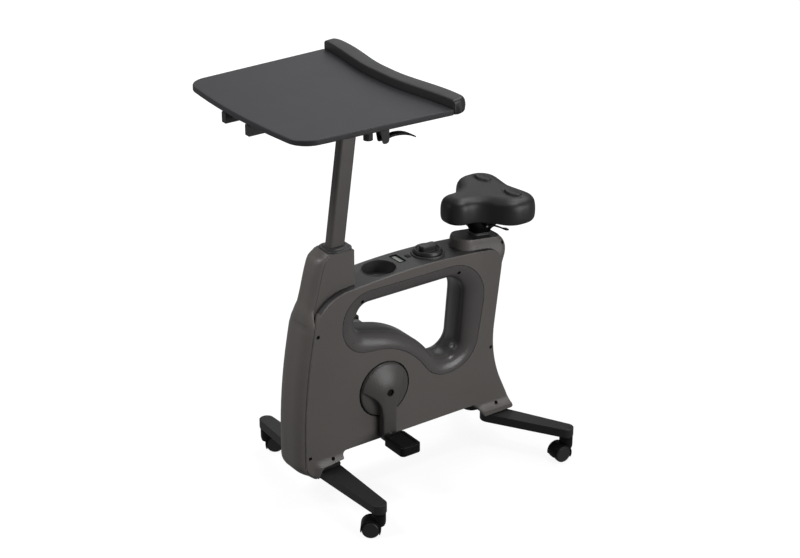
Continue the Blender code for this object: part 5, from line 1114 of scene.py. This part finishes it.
# the plan set further and further in towards the crown, then the two raised ovals
def saddleCushion():
    levels = ((0.0, 0.0100), (0.0008, 0.0066), (0.0025, 0.0038), (0.006, 0.0018), (0.012, 0.0005),
              (0.020, 0.0), (0.032, 0.0), (0.042, 0.0008), (0.049, 0.0022), (0.0545, 0.0045),
              (0.0590, 0.0080), (0.0625, 0.0125), (0.0652, 0.0178), (0.0674, 0.0235),
              (0.0690, 0.0290), (0.0700, 0.0340))
    stretch = (saddle["top"] - saddle["bottom"]) / 0.0705
    bm = lofted([atHeight(saddlePath(inset), saddle["bottom"] + level * stretch)
                 for level, inset in levels])
    bm = melted(bm, 0.0028, 6)
    raised = saddle["oval"]

    def awayFrom(x, y):                         # 1 on the oval's edge, and the share along x
        u = (x - raised["x"]) / raised["reachX"]
        v = (abs(y) - raised["y"]) / raised["reachY"]
        return hypot(u, v), u

    near = [e for e in bm.edges if all(v.co.z > saddle["bottom"] + 0.04
                                       and awayFrom(v.co.x, v.co.y)[0] < 1.5 for v in e.verts)]
    bmesh.ops.subdivide_edges(bm, edges=near, cuts=1, use_grid_fill=True)
    for vert in bm.verts:
        x, y, z = vert.co
        weight = smoothStep(saddle["bottom"] + 0.045, saddle["top"] - 0.010, z)
        away, along = awayFrom(x, y)
        facing = 1 - smoothStep(-0.1, 0.95, along)
        vert.co.z += weight * raised["rise"] * facing * (1 - smoothStep(0.84, 1.02, away))
        groove = smoothStep(0.96, 1.05, away) * (1 - smoothStep(1.06, 1.34, away))
        vert.co.z -= weight * raised["groove"] * groove * (1 - smoothStep(-0.5, 0.6, along))
    return bm


cushion = piece("saddleSkin", saddleCushion(), "seat", "saddle", ["saddle_cushion"], 80)
ease = cushion.modifiers.new("ease", "SUBSURF")
ease.levels = ease.render_levels = 1


# shallow tray that the cushion sits on
def saddlePan():
    top = saddle["bottom"] + 0.0006
    rows = ((-0.0072, 0.0285), (-0.0066, 0.0255), (-0.0045, 0.0215), (-0.0015, 0.0180),
            (0.0, 0.0165))
    return lofted([atHeight(saddlePath(inset), top + rise) for rise, inset in rows])


# cone that widens from the post to the pan, cut level under it
def seatBoot():
    low, high = 0.0078, 0.0566
    sizes = ((low, 0.060, 0.040, 0.0140), (low + 0.0012, 0.062, 0.042, 0.0150),
             (low + 0.0070, 0.063, 0.043, 0.0155), (low + 0.0085, 0.065, 0.045, 0.0162),
             (low + 0.0120, 0.070, 0.048, 0.0175), (low + 0.018, 0.084, 0.056, 0.020),
             (low + 0.026, 0.098, 0.062, 0.0235), (high - 0.008, 0.118, 0.072, 0.028),
             (high + 0.008, 0.130, 0.078, 0.031))
    loops = [atHeight(boxPath(a, b, r, steps=12), h) for h, a, b, r in sizes]
    bm = moved(lofted(loops), placed(seatFoot, seatLean))
    level = saddle["bottom"] - 0.0067
    return combined(bm, extruded(boxPath(0.5, 0.3, 0, (0.3, 0)), level, level + 0.1))


# lipped bush with a groove that shows as a dark ring
def seatCollar():
    w, d = post["size"]
    lip, c = post["lip"], post["corner"]
    rows = ((0.0004, lip - 0.0006), (0.0010, lip), (0.0042, lip), (0.0050, lip - 0.0006),
            (0.0056, lip - 0.0020), (0.0068, lip - 0.0024), (0.0070, 0.0010), (0.0066, 0.0006),
            (-0.040, 0.0006), (-0.040, 0.0026), (0.0004, 0.0026))
    loops = [atHeight(boxPath(w + 2 * out, d + 2 * out, c + out, steps=10), h)
             for h, out in rows]
    return moved(lofted(loops, ring=True), placed(seatFoot, seatLean))


# lever under the saddle: a tube on its pin and a thin paddle
def seatLever():
    bm = spun([(0.0028, -0.006), (0.0054, -0.006), (0.006, -0.0054), (0.006, 0.0054),
               (0.0054, 0.006), (0.0028, 0.006)], 32, "Y")

    def boxAt(share):
        wide = 0.0050 + 0.0045 * smoothStep(0.1, 0.85, share) - 0.0020 * smoothStep(0.88, 1, share)
        return 2 * wide, 0.0044, 0.0019

    paddle = blade([(0.0, 0.0), (0.022, -0.004), (0.045, -0.014), (0.066, -0.026),
                    (0.078, -0.029)], boxAt, 4)
    bm = melted(combined(bm, paddle, "UNION"), 0.0006, 3)
    return moved(bm, Matrix.Translation(leverPins["seat"]))


piece("saddlePanSkin", saddlePan(), "seat", "black_plastic", ["saddle_base"], 50)
piece("bootSkin", seatBoot(), "seat", "black_plastic", ["seat_boot"], 50)
pinX, _, pinZ = leverPins["seat"]
leverPin = moved(rod(0.0025, -0.0530, -0.0280, 24), Matrix.Translation((pinX, 0, pinZ)))
piece("seatLeverPin", leverPin, "seat", "bright_steel")
piece("seatCollarSkin", seatCollar(), "base", "deck", ["seat_collar"], 40)
piece("seatLeverSkin", seatLever(), "seat_lever", "black_plastic", ["seat_lever"], 60)
print("saddle made")


# legs and casters

legValues = {"height": 0.027, "bottom": 0.074, "pivotY": 0.045, "edge": 0.0016, "dimple": 0.0016}
caster = {"wheel": 0.025, "half": 0.0224, "web": 0.0068, "trail": 0.0215, "height": 0.0737,
          "neck": 0.0195}
frontLeg = dict(pivot=-0.236, stem=(-0.233, 0.286), radii=(0.032, 0.022))
rearLeg = dict(pivot=0.330, stem=(0.448, 0.253), radii=(0.030, 0.0207))
corners = {
    "front_left": dict(frontLeg, side=-1, heading=radians(-37.8)),
    "front_right": dict(frontLeg, side=1, heading=radians(150)),
    "rear_left": dict(rearLeg, side=-1, heading=radians(-3.9)),
    "rear_right": dict(rearLeg, side=1, heading=radians(30)),
}


# flat bar that narrows from its pivot to its caster, with a dimple in its top
def legBar(corner):
    c = corners[corner]
    dx, dy = c["stem"][0] - c["pivot"], c["side"] * (c["stem"][1] - legValues["pivotY"])
    length = hypot(dx, dy)
    first, second = c["radii"]
    lean = acos((first - second) / length)
    points = []
    for step in range(37):
        angle = lean + (2 * pi - 2 * lean) * step / 36
        points.append(Vector((cos(angle), sin(angle))) * first)
    for step in range(25):
        angle = -lean + 2 * lean * step / 24
        points.append(Vector((length, 0)) + Vector((cos(angle), sin(angle))) * second)
    low = legValues["bottom"]
    bm = extruded(points, low, low + legValues["height"])
    edgesRounded(bm, legValues["edge"], 3, 60)
    dimple = circlePath(legValues["dimple"], 20, (length + second - 0.010, 0))
    bm = combined(bm, extruded(dimple, low + legValues["height"] - 0.0008, low + 0.04))
    spot = Matrix.Translation((c["pivot"], c["side"] * legValues["pivotY"], 0))
    return moved(bm, spot @ Matrix.Rotation(atan2(dy, dx), 4, "Z"))


# neck and hood band that wraps round both wheels
def casterHood():
    c = caster
    axle, hood, half = -c["trail"], c["wheel"] + 0.0035, c["half"] - 0.0004
    arc = [Vector((axle + hood * cos(a), c["wheel"] + hood * sin(a)))
           for a in (radians(-28 + 220 * k / 48) for k in range(49))]
    body = extruded(arc, -half, half, "XZ")
    edgesRounded(body, 0.0010, 3, 60)
    n = c["neck"]
    stem = spun([(0, 0.030), (n - 0.003, 0.033), (n - 0.0008, 0.039), (n, 0.046),
                 (n, c["height"] - 0.0062), (n - 0.0012, c["height"] - 0.0056),
                 (n - 0.0012, c["height"] - 0.0048), (n, c["height"] - 0.0042),
                 (n, c["height"] - 0.0008), (n - 0.0006, c["height"]), (0.005, c["height"]),
                 (0.005, c["height"] + 0.020), (0, c["height"] + 0.020)], 48)
    body = combined(body, stem, "UNION")
    for side, _ in sides:
        low, high = sorted((side * c["web"], side * (half + 0.02)))
        pocket = extruded(circlePath(c["wheel"] + 0.0012, 64, (axle, c["wheel"])), low, high, "XZ")
        body = combined(body, pocket)
    bore = moved(rod(0.0034, -0.02, 0.02, 24), Matrix.Translation((axle, 0, c["wheel"])))
    return combined(body, bore)


# twin wheels: their tyres, or the dished hub caps and axle
def casterWheel(hub):
    r, half, inner = caster["wheel"], caster["half"], caster["web"] + 0.0008
    if hub:
        side = [(0, half - 0.0004), (r - 0.0042, half - 0.0004), (r - 0.0032, half - 0.0013),
                (r - 0.0032, inner + 0.001), (0.003, inner + 0.001)]
        profile = side + [(a, -b) for a, b in reversed(side)]
        return spun(profile, 64, "Y")
    ring = [(r - 0.0031, half - 0.0016), (r - 0.0022, half - 0.0014), (r - 0.0010, half - 0.0018),
            (r - 0.0003, half - 0.0028), (r, half - 0.0044), (r, inner + 0.0012),
            (r - 0.0005, inner + 0.0003), (r - 0.0015, inner), (r - 0.0031, inner)]
    return joined(spun(ring, 64, "Y"), spun([(a, -b) for a, b in reversed(ring)], 64, "Y"))


for corner, c in corners.items():
    piece(corner + "LegSkin", legBar(corner), corner + "_leg", "leg", [corner + "_leg"], 30, True)
    stem = Matrix.Translation((c["stem"][0], c["side"] * c["stem"][1], 0))
    swivel = stem @ Matrix.Rotation(c["heading"], 4, "Z")
    axle = swivel @ Matrix.Translation((-caster["trail"], 0, caster["wheel"]))
    piece(corner + "HoodSkin", moved(casterHood(), swivel), corner + "_caster",
          "black_plastic", [corner + "_caster_hood"], 34)
    piece(corner + "TyreSkin", moved(casterWheel(False), axle), corner + "_wheels",
          "tread", [corner + "_caster_wheels"], 40)
    piece(corner + "HubSkin", moved(casterWheel(True), axle), corner + "_wheels", "black_plastic",
          finish="hub")
print("legs and casters made")


# stage, lights and camera

stage = {"floor": 12.0, "drop": 0.0005, "paint": 0.80, "bounce": 0.14, "shadow": 0.20,
         "glow": 1.12, "glowFar": 1.32, "fade": (1.3, 3.2), "mirror": 0.27, "ambient": 0.08,
         "skyMirror": 0.14, "skyColor": (0.93, 0.95, 1.0, 1), "aim": (0, 0, 0.6)}


# white to the camera with the shadow let through, brighter where the lamps fall off, and
# dimmer in reflections and as a bounce
def paleFloor():
    made = bpy.data.materials.new("paleFloor")
    made.use_nodes = True
    tree = made.node_tree
    tree.nodes.clear()

    def diffuse(value):
        return addNode(tree, "BsdfDiffuse", {"Color": (value, value, value, 1)}).outputs["BSDF"]

    def glowing(strength):
        return addNode(tree, "Emission", {"Strength": strength}).outputs["Emission"]

    def mixed(share, first, second):
        return addNode(tree, "MixShader", {"Fac": share, 1: first, 2: second}).outputs["Shader"]

    near, far = stage["fade"]
    place = addNode(tree, "TexCoord", {}).outputs["Object"]
    away = addNode(tree, "VectorMath", {"Vector": place}, operation="LENGTH").outputs["Value"]
    glow = addNode(tree, "MapRange", {"Value": away, "From Min": near, "From Max": far,
                                      "To Min": stage["glow"], "To Max": stage["glowFar"]})
    path = addNode(tree, "LightPath", {})
    seen = mixed(stage["shadow"], glowing(glow.outputs["Result"]), diffuse(stage["paint"]))
    unseen = mixed(path.outputs["Is Glossy Ray"], diffuse(stage["bounce"]),
                   glowing(stage["mirror"]))
    addNode(tree, "OutputMaterial",
            {"Surface": mixed(path.outputs["Is Camera Ray"], unseen, seen)})
    return made


floorBm = bmesh.new()
bmesh.ops.create_grid(floorBm, x_segments=1, y_segments=1, size=stage["floor"])
bmesh.ops.translate(floorBm, verts=floorBm.verts, vec=(0, 0, -stage["drop"]))
floor = thingFrom(floorBm, "floor")
floor.data.materials.append(paleFloor())

world = bpy.data.worlds.new("studio")
bpy.context.scene.world = world
world.use_nodes = True
tree = world.node_tree
path = addNode(tree, "LightPath", {})
sky = addNode(tree, "MapRange", {"Value": path.outputs["Is Glossy Ray"],
                                 "To Min": stage["ambient"], "To Max": stage["skyMirror"]})
back = addNode(tree, "Background", {"Color": stage["skyColor"],
                                    "Strength": sky.outputs["Result"]})
white = addNode(tree, "Background", {"Color": (1, 1, 1, 1)})
both = addNode(tree, "MixShader", {"Fac": path.outputs["Is Camera Ray"],
                                   1: back.outputs["Background"],
                                   2: white.outputs["Background"]})
tree.links.new(both.outputs["Shader"], tree.nodes["World Output"].inputs["Surface"])

lamps = {
    "overBack": dict(spot=(2.2, 0.8, 3.7), size=(1.3, 1.6), power=34),
    "overhead": dict(spot=(0.9, -0.7, 4.0), size=(0.7, 0.7), power=34),
    "leftBack": dict(spot=(-3.0, 1.8, 2.6), size=(1.3, 2.6), power=14),
    "leftHigh": dict(spot=(-2.6, 0.6, 3.9), size=(1.3, 1.6), power=95),
    "rimBack": dict(spot=(2.0, 3.2, 2.8), size=(1.8, 2.4), power=12),
    "fillFront": dict(spot=(1.6, -4.2, 1.6), size=(3.0, 2.6), power=118),
}
for name, lamp in lamps.items():
    light = bpy.data.lights.new(name, "AREA")
    light.shape = "RECTANGLE"
    light.size, light.size_y = lamp["size"]
    light.energy = lamp["power"]
    holder = bpy.data.objects.new(name, light)
    bpy.context.scene.collection.objects.link(holder)
    holder.location = lamp["spot"]
    aim = Vector(stage["aim"]) - Vector(lamp["spot"])
    holder.rotation_euler = aim.to_track_quat("-Z", "Y").to_euler()

view = {"spot": (-2.8467, -4.0864, 2.9029), "turn": (65.1317, 0.0, -35.2273), "lens": 89.57,
        "sensor": 36, "far": 60}
camera = bpy.data.objects.new("camera", bpy.data.cameras.new("camera"))
bpy.context.scene.collection.objects.link(camera)
camera.location = view["spot"]
camera.rotation_euler = [radians(angle) for angle in view["turn"]]
camera.data.lens = view["lens"]
camera.data.sensor_width = view["sensor"]
camera.data.clip_end = view["far"]
bpy.context.scene.camera = camera
bpy.context.scene.view_settings.view_transform = "Standard"
print("stage set")
